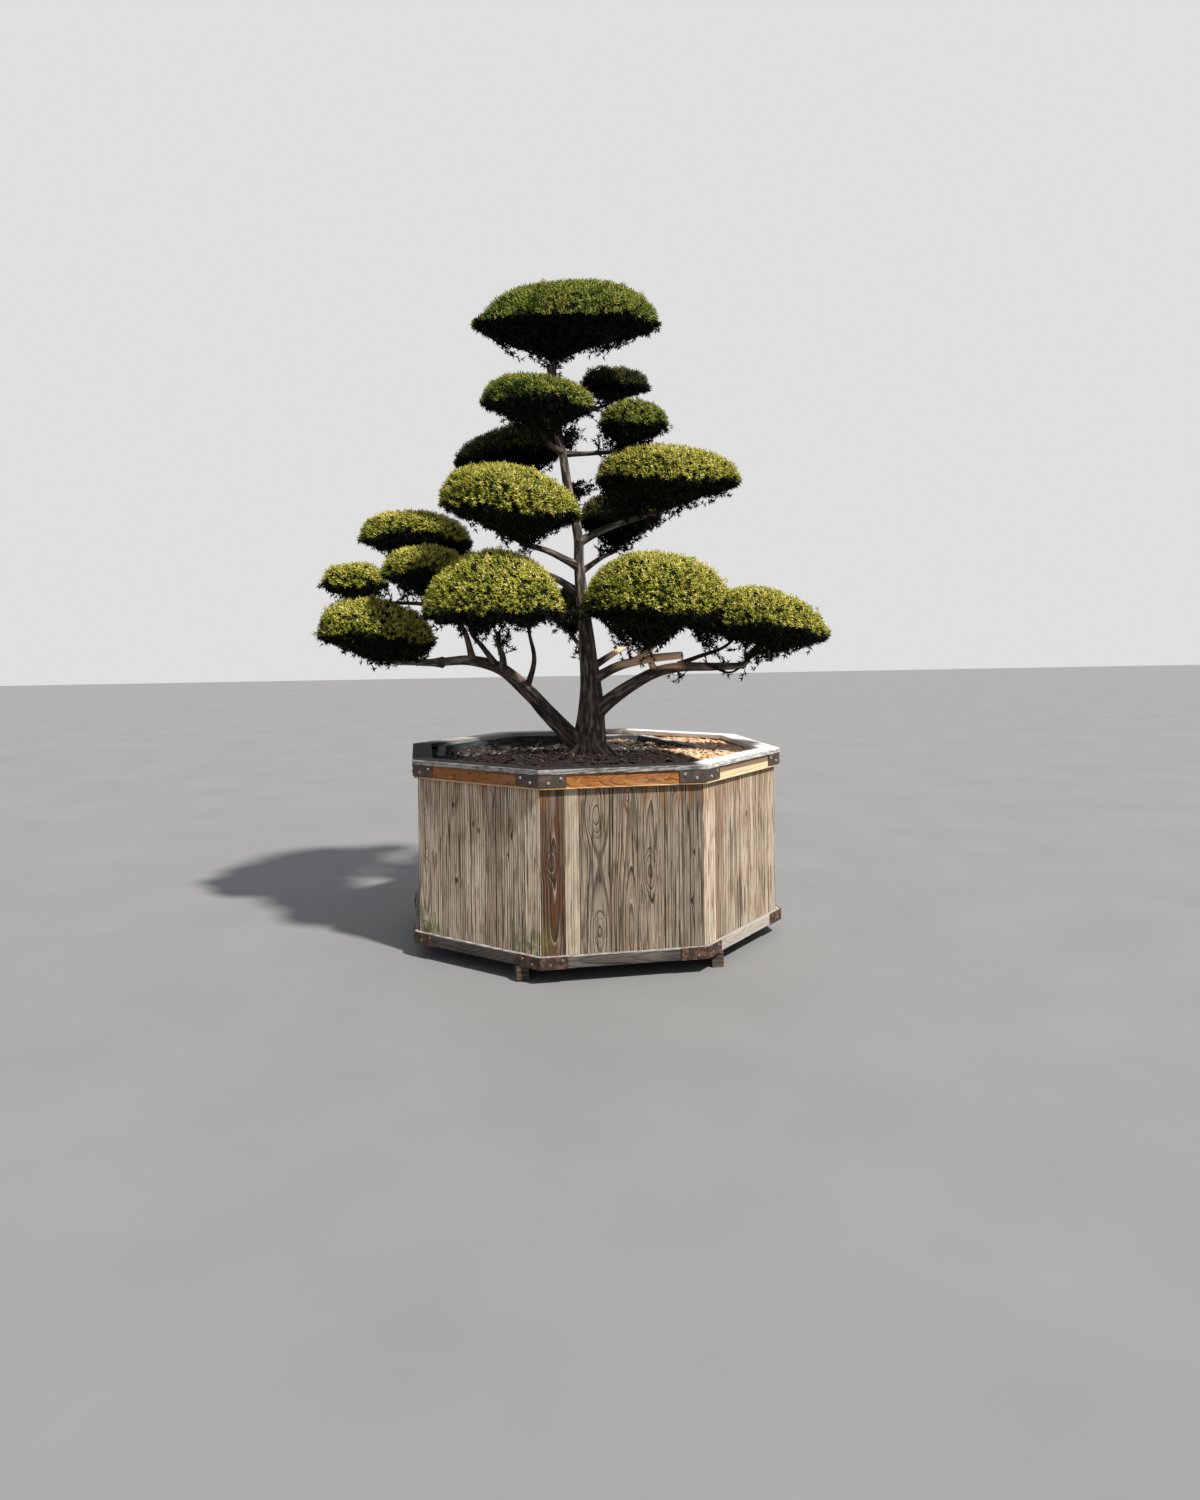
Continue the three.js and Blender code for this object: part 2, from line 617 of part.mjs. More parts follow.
const soilTop = soilShape().subtract(solid(frameShape(GAP))).subtract(holes);
add("soil", geometryOf(soilTop), SOIL);
add("inner_frame", frameShape(0), HIDDEN_WOOD);
floor();
bearers();
const UPPER_TO = CAP_TOP - CAP_THICKNESS - GAP;
rail("upper_rail", UPPER_TO - UPPER_RAIL_HEIGHT, UPPER_TO, UPPER_RAIL_WOOD);
rail("lower_rail", BEARER.height, BEARER.height + LOWER_RAIL_HEIGHT, LOWER_RAIL_WOOD);
for (let side = 0; side < SIDES; side += 1) {
  sideBoards(side);
  capBoard(side);
  cornerPlate(`upper_corner_plate_${side + 1}`, side, UPPER_TO - PLATE_HEIGHT, UPPER_STEEL);
  cornerPlate(`lower_corner_plate_${side + 1}`, side, BEARER.height, LOWER_STEEL);
}

export default group;
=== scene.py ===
"""A cloud-pruned yew in an octagonal timber planter box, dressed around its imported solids.

Metres, +Z up, and -Y out of the front side of the box. Sides are counted from the front, counter-clockwise
from above.
"""

import json
import math

import bmesh
import bpy
import numpy as np
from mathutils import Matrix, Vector, noise
from mathutils.bvhtree import BVHTree


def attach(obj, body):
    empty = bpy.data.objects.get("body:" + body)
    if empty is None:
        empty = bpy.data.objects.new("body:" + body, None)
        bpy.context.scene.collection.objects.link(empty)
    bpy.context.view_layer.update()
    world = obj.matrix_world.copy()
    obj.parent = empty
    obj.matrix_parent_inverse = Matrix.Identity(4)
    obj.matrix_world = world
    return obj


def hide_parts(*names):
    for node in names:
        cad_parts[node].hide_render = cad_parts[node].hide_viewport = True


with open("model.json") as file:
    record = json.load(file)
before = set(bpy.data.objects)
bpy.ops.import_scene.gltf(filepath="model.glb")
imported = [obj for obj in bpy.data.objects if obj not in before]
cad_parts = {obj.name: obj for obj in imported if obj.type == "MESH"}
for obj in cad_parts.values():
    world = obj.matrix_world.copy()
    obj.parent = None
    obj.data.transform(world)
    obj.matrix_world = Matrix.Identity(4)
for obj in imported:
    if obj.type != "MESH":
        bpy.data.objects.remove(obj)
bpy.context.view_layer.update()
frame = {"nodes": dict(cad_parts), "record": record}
NODES = frame["nodes"]
UP = np.array([0.0, 0.0, 1.0])

# Planter box. Each apothem is measured from the middle of the box to the middle of a side.
SIDES = 8
HALF_TURN = math.pi / SIDES
CAP_OUTER = 0.845
CAP_WIDTH = 0.09
CAP_TOP = 0.863
CAP_THICKNESS = 0.021
BOARD_OUTER = 0.82
BOARD_THICKNESS = 0.026
RAIL_OUTER = 0.838
UPPER_RAIL = (0.7817, 0.8417)
LOWER_RAIL = (0.062, 0.112)
BOARD_FOOT = 0.0624
BOARD_HEAD = 0.8416
# Gaps between boards side by side, and between a rail or a plate and what it lies against.
JOINT = 0.0012
CLEARANCE = 0.0004
PLATE_THICKNESS = 0.004
PLATE_LEG = 0.115
PLATE_HEIGHT = 0.05
BOLT_RADIUS = 0.0075
BOLT_TAPER = 0.72
BOLT_PROUD = 0.004
BOLT_SUNK = 0.001
# Where the bolts of a leg lie, as shares of its length and height.
BOLT_PLACES = ((0.2, 0.68), (0.64, 0.34))
# How far the edges are rounded.
BOARD_EDGE = 0.0022
RAIL_EDGE = 0.003
CAP_EDGE = 0.0025
PLATE_EDGE = 0.0012
BOLT_EDGE = 0.0011


# Materials


def rgb(code):
    """A colour as linear values, from its hexadecimal code."""
    parts = [int(code[i : i + 2], 16) / 255 for i in (0, 2, 4)]
    linear = [p / 12.92 if p <= 0.04045 else ((p + 0.055) / 1.055) ** 2.4 for p in parts]
    return (*linear, 1.0)


class Value:
    """An output of a material's node, which can be written in sums and products."""

    def __init__(self, look, socket):
        self.look, self.socket = look, socket

    def __add__(self, other):
        return self.look.math("ADD", self, other)

    def __sub__(self, other):
        return self.look.math("SUBTRACT", self, other)

    def __rsub__(self, other):
        return self.look.math("SUBTRACT", other, self)

    def __mul__(self, other):
        return self.look.math("MULTIPLY", self, other)

    def __truediv__(self, other):
        return self.look.math("DIVIDE", self, other)

    def __abs__(self):
        return self.look.math("ABSOLUTE", self)


class Look:
    """A material whose node tree is written as sums, products and nested calls."""

    def __init__(self, name, **shader):
        self.material = bpy.data.materials.new(name)
        self.material.use_nodes = True
        self.nodes = self.material.node_tree.nodes
        self.links = self.material.node_tree.links
        self.shader = self.nodes["Principled BSDF"]
        for socket, value in shader.items():
            self.shader.inputs[socket.replace("_", " ")].default_value = value

    def feed(self, socket, value):
        if isinstance(value, Value):
            self.links.new(value.socket, socket)
        else:
            socket.default_value = value

    def node(self, kind, inputs, output=0, **settings):
        made = self.nodes.new("ShaderNode" + kind)
        for key, value in settings.items():
            setattr(made, key, value)
        for key, value in inputs.items():
            self.feed(made.inputs[key], value)
        return Value(self, made.outputs[output])

    def math(self, operation, *values):
        return self.node("Math", dict(enumerate(values)), operation=operation)

    def attribute(self, name, output=2):
        return self.node("Attribute", {}, output, attribute_name=name)

    def place(self):
        return self.node("TexCoord", {}, 3)

    def parts(self, vector):
        return [self.node("SeparateXYZ", {0: vector}, i) for i in range(3)]

    def vector(self, x, y, z):
        return self.node("CombineXYZ", {0: x, 1: y, 2: z})

    def stretch(self, vector, scales):
        return self.node("VectorMath", {0: vector, 1: scales}, operation="MULTIPLY")

    def noise(self, vector, scale=1.0, detail=2.0):
        return self.node("TexNoise", {"Vector": vector, "Scale": scale, "Detail": detail})

    def strands(self, vector, scales, detail):
        """Noise with its own scale along each axis."""
        return self.noise(self.stretch(vector, scales), 1.0, detail)

    def cells(self, vector, scales):
        return self.node("TexVoronoi", {"Vector": self.stretch(vector, scales), "Scale": 1.0})

    def band(self, value, low, high):
        """How far a value has come from low to high, from 0 to 1."""
        inputs = {"Value": value, "From Min": low, "From Max": high}
        return self.node("MapRange", inputs, interpolation_type="SMOOTHSTEP")

    def ramp(self, value, *stops):
        made = self.nodes.new("ShaderNodeValToRGB")
        elements = made.color_ramp.elements
        while len(elements) < len(stops):
            elements.new(0.5)
        for element, (position, color) in zip(elements, stops):
            element.position = position
            element.color = rgb(color) if isinstance(color, str) else (color, color, color, 1.0)
        self.feed(made.inputs[0], value)
        return Value(self, made.outputs[0])

    def mix(self, factor, a, b, blend="MIX"):
        a, b = (rgb(c) if isinstance(c, str) else c for c in (a, b))
        return self.node("Mix", {0: factor, 6: a, 7: b}, 2, data_type="RGBA", blend_type=blend)

    def finish(self, color, bump=None, distance=0.002, roughness=None):
        self.feed(self.shader.inputs["Base Color"], color)
        if roughness is not None:
            self.feed(self.shader.inputs["Roughness"], roughness)
        if bump is not None:
            normal = self.node("Bump", {"Height": bump, "Distance": distance})
            self.feed(self.shader.inputs["Normal"], normal)
        return self.material


# Meshes


def store(mesh, values):
    """Stores numbers or vectors on a mesh's points."""
    for key, data in values.items():
        data = np.asarray(data, np.float32)
        kind, field = ("FLOAT", "value") if data.ndim == 1 else ("FLOAT_VECTOR", "vector")
        mesh.attributes.new(key, kind, "POINT").data.foreach_set(field, data.ravel())


def mesh_of(name, points, faces, values):
    """A mesh of faces that all have the same number of corners, with values stored on its points."""
    points = np.asarray(points, np.float32)
    faces = np.asarray(faces, np.int32)
    mesh = bpy.data.meshes.new(name)
    mesh.vertices.add(len(points))
    mesh.vertices.foreach_set("co", points.ravel())
    mesh.loops.add(faces.size)
    mesh.loops.foreach_set("vertex_index", faces.ravel())
    mesh.polygons.add(len(faces))
    mesh.polygons.foreach_set("loop_start", np.arange(0, faces.size, faces.shape[1], dtype=np.int32))
    store(mesh, values)
    mesh.update(calc_edges=True)
    return mesh


def placed(name, data):
    """An object in the scene that shows a mesh, a camera or a light."""
    made = bpy.data.objects.new(name, data)
    bpy.context.scene.collection.objects.link(made)
    return made


def piece(name, mesh, looks, slot, *nodes):
    """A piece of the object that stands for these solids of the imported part."""
    made = placed(name, mesh)
    for look in looks:
        mesh.materials.append(look)
    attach(made, "root")
    if nodes:
        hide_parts(*nodes)
    return made


def unit(vectors):
    """The vectors at a length of 1."""
    return vectors / np.maximum(np.linalg.norm(vectors, axis=-1, keepdims=True), 1e-9)


def across(axes):
    """Two directions at right angles to each axis."""
    helper = np.where(np.abs(axes[:, 2:3]) < 0.9, [[0.0, 0.0, 1.0]], [[1.0, 0.0, 0.0]])
    first = unit(np.cross(axes, helper))
    return first, np.cross(axes, first)


def toward(first, second, angle):
    """Directions at these angles from the first of two directions to the second."""
    return first * np.cos(angle)[:, None] + second * np.sin(angle)[:, None]


def lengths(line):
    """How far each point of a line lies along it."""
    return np.concatenate([[0], np.cumsum(np.linalg.norm(np.diff(line, axis=0), axis=1))])


def at(line, along, places):
    """The points of a line at these places along it."""
    return np.stack([np.interp(places, along, line[:, i]) for i in range(3)], axis=-1)


# Foliage

# A head's form: the grid that its tufts are smoothed on, how often, and how far it swells.
VOXEL = 0.019
SMOOTHING = 3
PLUMPING = 0.003
# Its clumps of shoots: how far apart they stand, and the radii between which their needles are painted
# darker: painted shade in the gaps between clumps.
CLUMP_SPACING = 0.0178
CLUMP_HEART = 0.0045
CLUMP_RIM = 0.012
# Size and seed of the lumps in a head: where it thins out and its painted shade begins below, its clumps'
# height, its tones, its core.
EDGE_LUMPS = (0.045, 6.3)
SWELL_LUMPS = (0.085, 3.1)
TONE_LUMPS = (0.17, 8.4)
CORE_LUMPS = (0.03, 5.7)
# The share of clumps that stand out of the clipped face, and the share that is missing.
STRAY = 0.02
BARE = 0.04
# The shoots of a clump, the needles of a shoot, and how much larger those in the shade are.
SHOOTS = 5
NEEDLES = 5
SHOOT_LENGTH = 0.0105
NEEDLE_LENGTH = 0.0122
NEEDLE_WIDTH = 0.0042
SHADED_SIZE = 1.9
# How deep the core lies under the form, and how much deeper where it faces down.
CORE_DEPTH = 0.011
HOLLOW = 0.012
# How high a head is widest and how far its underside is raised, as shares of its height.
WIDEST = {"head_crown": 0.21}
USUALLY_WIDEST = 0.33
RAISED = 0.1
# How steeply these heads slope down to the front.
NODDING = {
    "head_crown": 0.11,
    "head_upper_front": 0.1,
    "head_middle_left": 0.09,
    "head_middle_right": 0.07,
}
# How much wider these heads have grown than the clipped form, and how far they lean out and stand up.
GROWTH = {
    "head_crown": (1.03, 0.014, 0.045),
    "head_upper_right": (1.04, 0.014, 0),
    "head_upper_back": (1.12, 0.02, 0),
    "head_left_tip": (1.14, 0.02, 0),
}
GOLDEN_ANGLE = 2.39996
# The side that painted light comes from: needles that face it are painted paler.
SUNNY_SIDE = np.array([0.86, -0.5, 0.0])


def form_of(node):
    """The form of a head's solid with its tufts smoothed, as points, normals and triangles."""
    form = placed("form", NODES[node].data.copy())
    remesh = form.modifiers.new("remesh", "REMESH")
    remesh.mode = "VOXEL"
    remesh.voxel_size = VOXEL
    smooth = form.modifiers.new("smooth", "SMOOTH")
    smooth.iterations = SMOOTHING
    form.modifiers.new("triangles", "TRIANGULATE")
    shown = form.evaluated_get(bpy.context.evaluated_depsgraph_get())
    mesh = shown.to_mesh()
    points = np.array([v.co for v in mesh.vertices])
    normals = np.array([v.normal for v in mesh.vertices])
    faces = np.array([tuple(p.vertices) for p in mesh.polygons])
    shown.to_mesh_clear()
    bpy.data.objects.remove(form)
    wider, lean, rise = GROWTH.get(node, (1, 0, 0))
    middle = points[:, 0].mean()
    points[:, 0] = middle + (points[:, 0] - middle) * wider + lean
    points[:, 2] += rise
    points, normals = domed(points, normals, WIDEST.get(node, USUALLY_WIDEST))
    slope = NODDING.get(node, 0)
    points[:, 2] += slope * (points[:, 1] - points[:, 1].mean())
    normals = unit(normals - [[0, slope, 0]] * normals[:, 2:])
    return points + PLUMPING * normals, normals, faces


def domed(points, normals, widest):
    """A head's points and normals with its underside flatter and its widest level lower down."""
    x, z = points[:, 0], points[:, 2]
    halves = [x < x.mean(), x >= x.mean()]
    middles = [x[half].mean() for half in halves]
    low = np.interp(x, middles, [z[half].min() for half in halves])
    high = np.interp(x, middles, [z[half].max() for half in halves])
    share = (z - low) / (high - low)
    below, above = 2 * (widest - RAISED), 2 * (1 - widest)
    level = np.where(share < 0.5, RAISED + share * below, 1 - (1 - share) * above)
    steep = np.where(share < 0.5, below, above)
    points = np.column_stack([points[:, :2], low + level * (high - low)])
    return points, unit(np.column_stack([normals[:, :2], normals[:, 2] / steep]))


def scatter(form, spacing, rng):
    """Points on a form that keep this distance from each other, with their normals."""
    points, normals, faces = form
    a, b, c = (points[faces[:, i]] for i in range(3))
    area = np.linalg.norm(np.cross(b - a, c - a), axis=1) / 2
    count = int(4.5 * area.sum() / spacing**2)
    chosen = rng.choice(len(faces), count, p=area / area.sum())
    u, v = rng.random((2, count, 1))
    folded = u + v > 1
    u, v = np.where(folded, 1 - u, u), np.where(folded, 1 - v, v)
    places = a[chosen] + u * (b - a)[chosen] + v * (c - a)[chosen]
    facing = [normals[faces[chosen, i]] for i in range(3)]
    facing = unit(facing[0] + u * (facing[1] - facing[0]) + v * (facing[2] - facing[0]))
    cells = {}
    kept = []
    for i, (place, cell) in enumerate(zip(places, np.floor(places / spacing).astype(int))):
        near = (
            cells.get((cell[0] + dx, cell[1] + dy, cell[2] + dz))
            for dx in (-1, 0, 1)
            for dy in (-1, 0, 1)
            for dz in (-1, 0, 1)
        )
        if all(other is None or ((place - other) ** 2).sum() > spacing**2 for other in near):
            cells[tuple(cell)] = place
            kept.append(i)
    return places[kept], facing[kept]


def lumps(places, size, seed):
    """Smooth noise from about -1 to 1, in lumps of this size."""
    return np.array([noise.noise(Vector(p) / size + Vector((seed, 0, 0))) for p in places])


def blades(bases, axes, tones, rng, size=1.0):
    """Needles round each shoot, each a narrow triangle painted darker at its root: painted shade among the
    shoots.
    """
    first, second = across(axes)
    count = len(bases)
    size = np.broadcast_to(size, count)[:, None]
    points = np.empty((count, NEEDLES, 3, 3))
    shade = np.empty((count, NEEDLES, 3))
    start = rng.uniform(0, 2 * math.pi, count)
    for i in range(NEEDLES):
        share = (i + 0.5) / NEEDLES
        turn = start + i * GOLDEN_ANGLE + rng.uniform(-0.3, 0.3, count)
        lean = math.radians(78 - 46 * share) + rng.uniform(-0.15, 0.15, count)
        along = toward(axes, toward(first, second, turn), lean)
        wide = unit(np.cross(along, axes)) * size * NEEDLE_WIDTH / 2
        length = size * NEEDLE_LENGTH * rng.uniform(0.75, 1.2, count)[:, None]
        root = bases + axes * SHOOT_LENGTH * share
        points[:, i] = np.stack([root - wide, root + wide, root + along * length], axis=1)
        # A needle is painted darker at its root and paler at its tip: painted shade and painted light.
        painted_tone = tones + rng.uniform(-0.08, 0.08, count)
        shade[:, i] = np.stack([painted_tone - 0.15, painted_tone - 0.15, painted_tone + 0.15], axis=1)
    faces = np.arange(count * NEEDLES * 3).reshape(-1, 3)
    return points.reshape(-1, 3), faces, shade.ravel()


def head(name, form, spurs, look, slot, rng):
    """A clipped head: clumps of needle shoots that stand out of a dark twiggy core, with painted light on top
    and painted shade below.
    """
    points, normals, faces = form
    centres, facing = scatter(form, CLUMP_SPACING, rng)
    edge = 0.14 * lumps(centres, *EDGE_LUMPS)
    # Where the head turns down it bears fewer clumps and larger shoots, and is painted in shade.
    under = np.clip((-0.1 + edge - facing[:, 2]) / 0.65, 0, 1)
    kept = rng.random(len(centres)) > BARE + 0.5 * under
    centres, facing, under = centres[kept], facing[kept], under[kept]
    count = len(centres)
    swell = lumps(centres, *SWELL_LUMPS)
    lift = 0.006 * swell + rng.uniform(-0.004, 0.004, count) + 0.014 * (rng.random(count) < STRAY)
    centres = centres + facing * lift[:, None]
    growth = unit(facing + 0.2 * UP + rng.normal(0, 0.12, facing.shape))
    first, second = across(growth)
    # Tones with painted light and shade: paler on top, towards SUNNY_SIDE and where clumps swell out, much
    # darker where the head turns down, and random besides.
    tones = 0.68 + 0.24 * np.clip(facing[:, 2], -0.5, 1) + 0.07 * lumps(centres, *TONE_LUMPS) + 0.06 * swell
    tones = tones + 0.1 * (facing @ SUNNY_SIDE) + rng.normal(0, 0.11, count) - 0.9 * under
    bases, axes, shades = [], [], []
    turn = rng.uniform(0, 2 * math.pi, count)
    for i in range(SHOOTS):
        beside = i > 0
        angle = turn + 2 * math.pi * i / (SHOOTS - 1)
        side = toward(first, second, angle)
        bases.append(centres + side * 0.27 * CLUMP_SPACING * beside - growth * (0.005 + 0.007 * beside))
        axes.append(unit(growth + side * 0.6 * beside + rng.normal(0, 0.12, growth.shape)))
        shades.append(tones + rng.normal(0, 0.11, count))
    size = np.tile(1 + (SHADED_SIZE - 1) * 0.7 * under, SHOOTS)
    needle_points, needle_faces, shade = blades(
        np.concatenate(bases), np.concatenate(axes), np.concatenate(shades), rng, size
    )
    # Needles are painted darker towards the rim of their clump: painted shade between clumps.
    middles = np.repeat(np.tile(centres, (SHOOTS, 1)), NEEDLES * 3, axis=0)
    outward = np.repeat(np.tile(growth, (SHOOTS, 1)), NEEDLES * 3, axis=0)
    offset = needle_points - middles
    offset = offset - outward * (offset * outward).sum(axis=1, keepdims=True)
    aside = (np.linalg.norm(offset, axis=1) - CLUMP_HEART) / (CLUMP_RIM - CLUMP_HEART)
    shade = shade - 0.3 * np.clip(aside, 0, 1)
    spur_bases, spur_axes = (np.array(part) for part in zip(*spurs))
    # Shoots along the twigs under a head are near black: painted shade.
    spur_tones = rng.normal(0.05, 0.06, len(spurs))
    spur_points, spur_faces, spur_shade = blades(spur_bases, unit(spur_axes), spur_tones, rng, SHADED_SIZE)
    leaf_mesh = mesh_of(
        name + "_needles",
        np.concatenate([needle_points, spur_points]),
        np.concatenate([needle_faces, spur_faces + len(needle_points)]),
        {"shade": np.concatenate([shade, spur_shade])},
    )
    piece(name + "_needles", leaf_mesh, [look], slot, name)
    below = np.clip((-0.1 - normals[:, 2]) / 0.6, 0, 1)
    depth = CORE_DEPTH + HOLLOW * below - 0.006 * lumps(points, *CORE_LUMPS)
    core = points - normals * depth[:, None]
    piece(name + "_core", mesh_of(name + "_core", core, faces, {}), [LOOKS["core"]], slot)


def needle_look(name, *stops):
    """Needles whose colour follows their painted light and shade, with warm patches and brown flecks only
    where they are painted light.
    """
    look = Look(name, Roughness=0.7, Specular_IOR_Level=0.12)
    place = look.place()
    shade = look.attribute("shade")
    base = look.ramp(shade, *stops)
    # Warm patches and brown flecks show only where the needles are painted light, not in their painted shade.
    painted_lit_share = look.band(shade, 0.15, 0.5)
    patch = look.band(look.noise(place, 7.0), 0.45, 0.75) * painted_lit_share
    dry_and_sunlit = look.band(look.noise(place, 60.0, 1.0), 0.62, 0.72) * painted_lit_share
    warm = look.mix(patch * 0.35, base, "9a8b32")
    return look.finish(look.mix(dry_and_sunlit * 0.4, warm, "8f6a38"))


def core_look():
    # Nearly black: the twiggy inside of a head, with painted shade.
    look = Look("core", Roughness=1.0, Specular_IOR_Level=0.05)
    place = look.place()
    grain = look.noise(place, 90.0, 3.0)
    color = look.ramp(grain, (0.3, "080a05"), (0.55, "12150a"), (0.75, "211e11"))
    return look.finish(color, grain, 0.004)


# Wood of the tree, with routes and radii in millimetres

MM = 0.001
TRUNK = {
    "route": [(0, 0, 640), (0, 0, 840), (10, 0, 1080), (-10, 0, 1360), (-40, 10, 1710), (-45, 10, 1880),
              (-90, 20, 2110), (-110, 20, 2250), (-150, 30, 2490), (-165, 30, 2710)],
    "radii": (122, 21), "power": 4, "sides": 40, "steps": 190, "relief": 0.16,
}
LIMB = {
    "route": [(-40, 0, 860), (-110, -8, 930), (-200, -20, 1020), (-310, -60, 1140), (-430, -80, 1245),
              (-560, -30, 1285), (-720, 95, 1277)],
    "radii": (46, 19), "sides": 24, "steps": 90, "relief": 0.16,
}
ROOTS = 4
ROOT_REACH = 230
ROOT_RADII = (44, 16)
# The height of a root at each share of its reach.
ROOT_COURSE = [(0, 930), (0.3, 850), (0.62, 800), (1, 740)]
FORKS = [
    ([(-440, -75, 1245), (-520, -130, 1350), (-580, -270, 1420), (-590, -370, 1500)], (15, 5)),
    ([(-310, -60, 1145), (-285, -170, 1280), (-320, -320, 1400), (-350, -400, 1500)], (15, 5)),
    ([(400, -200, 1258), (500, -170, 1290), (620, -230, 1340), (690, -280, 1420)], (12, 5)),
]
# A sawn-off branch, a stub, and a twig that loops below the lowest limb.
BARE_STEMS = [
    ([(30, 0, 1190), (130, -90, 1250), (260, -190, 1285), (395, -280, 1302)], (24, 17)),
    ([(300, -135, 1225), (285, -150, 1245), (272, -162, 1268)], (17, 14)),
    ([(505, -300, 1262), (605, -335, 1219), (662, -335, 1243), (718, -330, 1287), (800, -325, 1335)], (6, 3)),
]
# Places beside the trunk that are thick with short shoots, how far they spread, and the height on the
# trunk that they grow from.
THICKETS = [((-65, 30, 2365), 65, 2310), ((-15, 50, 2105), 70, 2080), ((-60, 60, 1985), 60, 1960)]
# Each branch that carries a head: the head, its route to the knot where its twigs part, and its radii.
BRANCHES = [
    ("head_crown", [(-165, 30, 2600), (-160, 30, 2680), (-145, 25, 2745)], (20, 13)),
    ("head_upper_front", [(-120, 22, 2290), (-190, -90, 2305), (-255, -255, 2345)], (13, 8)),
    ("head_upper_back", [(-142, 28, 2420), (30, 200, 2530), (190, 375, 2628)], (13, 7)),
    ("head_upper_right", [(-115, 20, 2280), (40, 12, 2288), (180, 8, 2312)], (13, 8)),
    ("head_back_left", [(-90, 20, 2100), (-180, 230, 2170), (-320, 460, 2245)], (17, 9)),
    ("head_middle_left", [(-45, 10, 1735), (-200, -70, 1800), (-320, -200, 1822), (-390, -330, 1850)],
     (18, 9)),
    ("head_middle_right", [(-48, 10, 1850), (120, 20, 1930), (290, 20, 1985), (390, 15, 2020)], (19, 10)),
    ("head_right_under", [(-42, 10, 1700), (100, 210, 1790), (240, 450, 1870)], (16, 8)),
    ("head_left_top", [(-35, 8, 1600), (-160, 120, 1690), (-400, 290, 1760), (-640, 390, 1775),
                       (-770, 410, 1785)], (19, 10)),
    ("head_left_inner", [(-560, -30, 1285), (-600, 20, 1430), (-670, 50, 1520), (-740, 80, 1588)], (15, 9)),
    ("head_left_tip", [(-668, 50, 1520), (-790, 190, 1560), (-980, 300, 1572), (-1100, 322, 1588)],
     (11, 7)),
    ("head_left_low", [(-700, 80, 1276), (-830, 180, 1275), (-960, 260, 1288)], (19, 11)),
    ("head_front", [(-420, -75, 1235), (-435, -200, 1310), (-465, -350, 1375)], (17, 10)),
    ("head_back_low", [(-10, 0, 1290), (-15, 220, 1355), (-10, 470, 1410)], (15, 8)),
    ("head_back_right", [(-5, 0, 1230), (180, 180, 1320), (350, 360, 1395), (440, 450, 1445)], (18, 9)),
    ("head_right_pair", [(0, 0, 1170), (90, -60, 1225), (190, -150, 1275), (255, -265, 1345)], (22, 11)),
    ("head_right_pair", [(20, 0, 1020), (100, -40, 1088), (190, -80, 1155), (300, -140, 1218),
                         (400, -200, 1243), (560, -290, 1246), (690, -335, 1260)], (37, 14)),
]
# How far a branch goes on past its knot, into its head.
TIP_REACH = (0, 0, 45)
THICKET_SHOOTS = 26

# Twigs, in metres: how far apart they and their sprigs end, how far into a head, and the distance of the
# leafy shoots along them.
TWIG_SPACING = 0.16
SPRIG_SPACING = 0.05
SIDE_SPRIGS = 2
# No twig is shorter than this, and sprigs and lace have limits of their own.
TWIG_SHORTEST = 0.04
SPRIG_LIMITS = (0.03, 0.4)
LACE_SHORTEST = 0.02
INTO_HEAD = 0.02
SPUR_SPACING = 0.018
# The lace of fine twigs under a head: how far apart they start, their reach, and their shoots' distance.
LACE_SPACING = 0.0215
LACE_REACH = 0.22
LACE_SPURS = 0.0165
# Radii at the start and the end of each kind of twig.
TWIG = (0.0062, 0.0034)
SIDE_TWIG = (0.0026, 0.0014)
SPRIG = (0.003, 0.0016)
SIDE_SPRIG = (0.0017, 0.001)
LACE = (0.0015, 0.0009)
THICKET = (0.0026, 0.0012)


def spline(route, count):
    """Evenly spaced points along a smooth curve through a route."""
    knots = np.array(route, float)
    knots = np.vstack([2 * knots[0] - knots[1], knots, 2 * knots[-1] - knots[-2]])
    dense = []
    for p0, p1, p2, p3 in zip(knots, knots[1:], knots[2:], knots[3:]):
        gaps = [np.linalg.norm(b - a) ** 0.5 for a, b in ((p0, p1), (p1, p2), (p2, p3))]
        t0, t1, t2, t3 = np.concatenate([[0], np.cumsum(gaps)])
        for t in np.linspace(t1, t2, 16, endpoint=False):
            a1 = ((t1 - t) * p0 + (t - t0) * p1) / (t1 - t0)
            a2 = ((t2 - t) * p1 + (t - t1) * p2) / (t2 - t1)
            a3 = ((t3 - t) * p2 + (t - t2) * p3) / (t3 - t2)
            b1 = ((t2 - t) * a1 + (t - t0) * a2) / (t2 - t0)
            b2 = ((t3 - t) * a2 + (t - t1) * a3) / (t3 - t1)
            dense.append(((t2 - t) * b1 + (t - t1) * b2) / (t2 - t1))
    dense = np.array([*dense, knots[-2]])
    along = lengths(dense)
    return at(dense, along, np.linspace(0, along[-1], count))


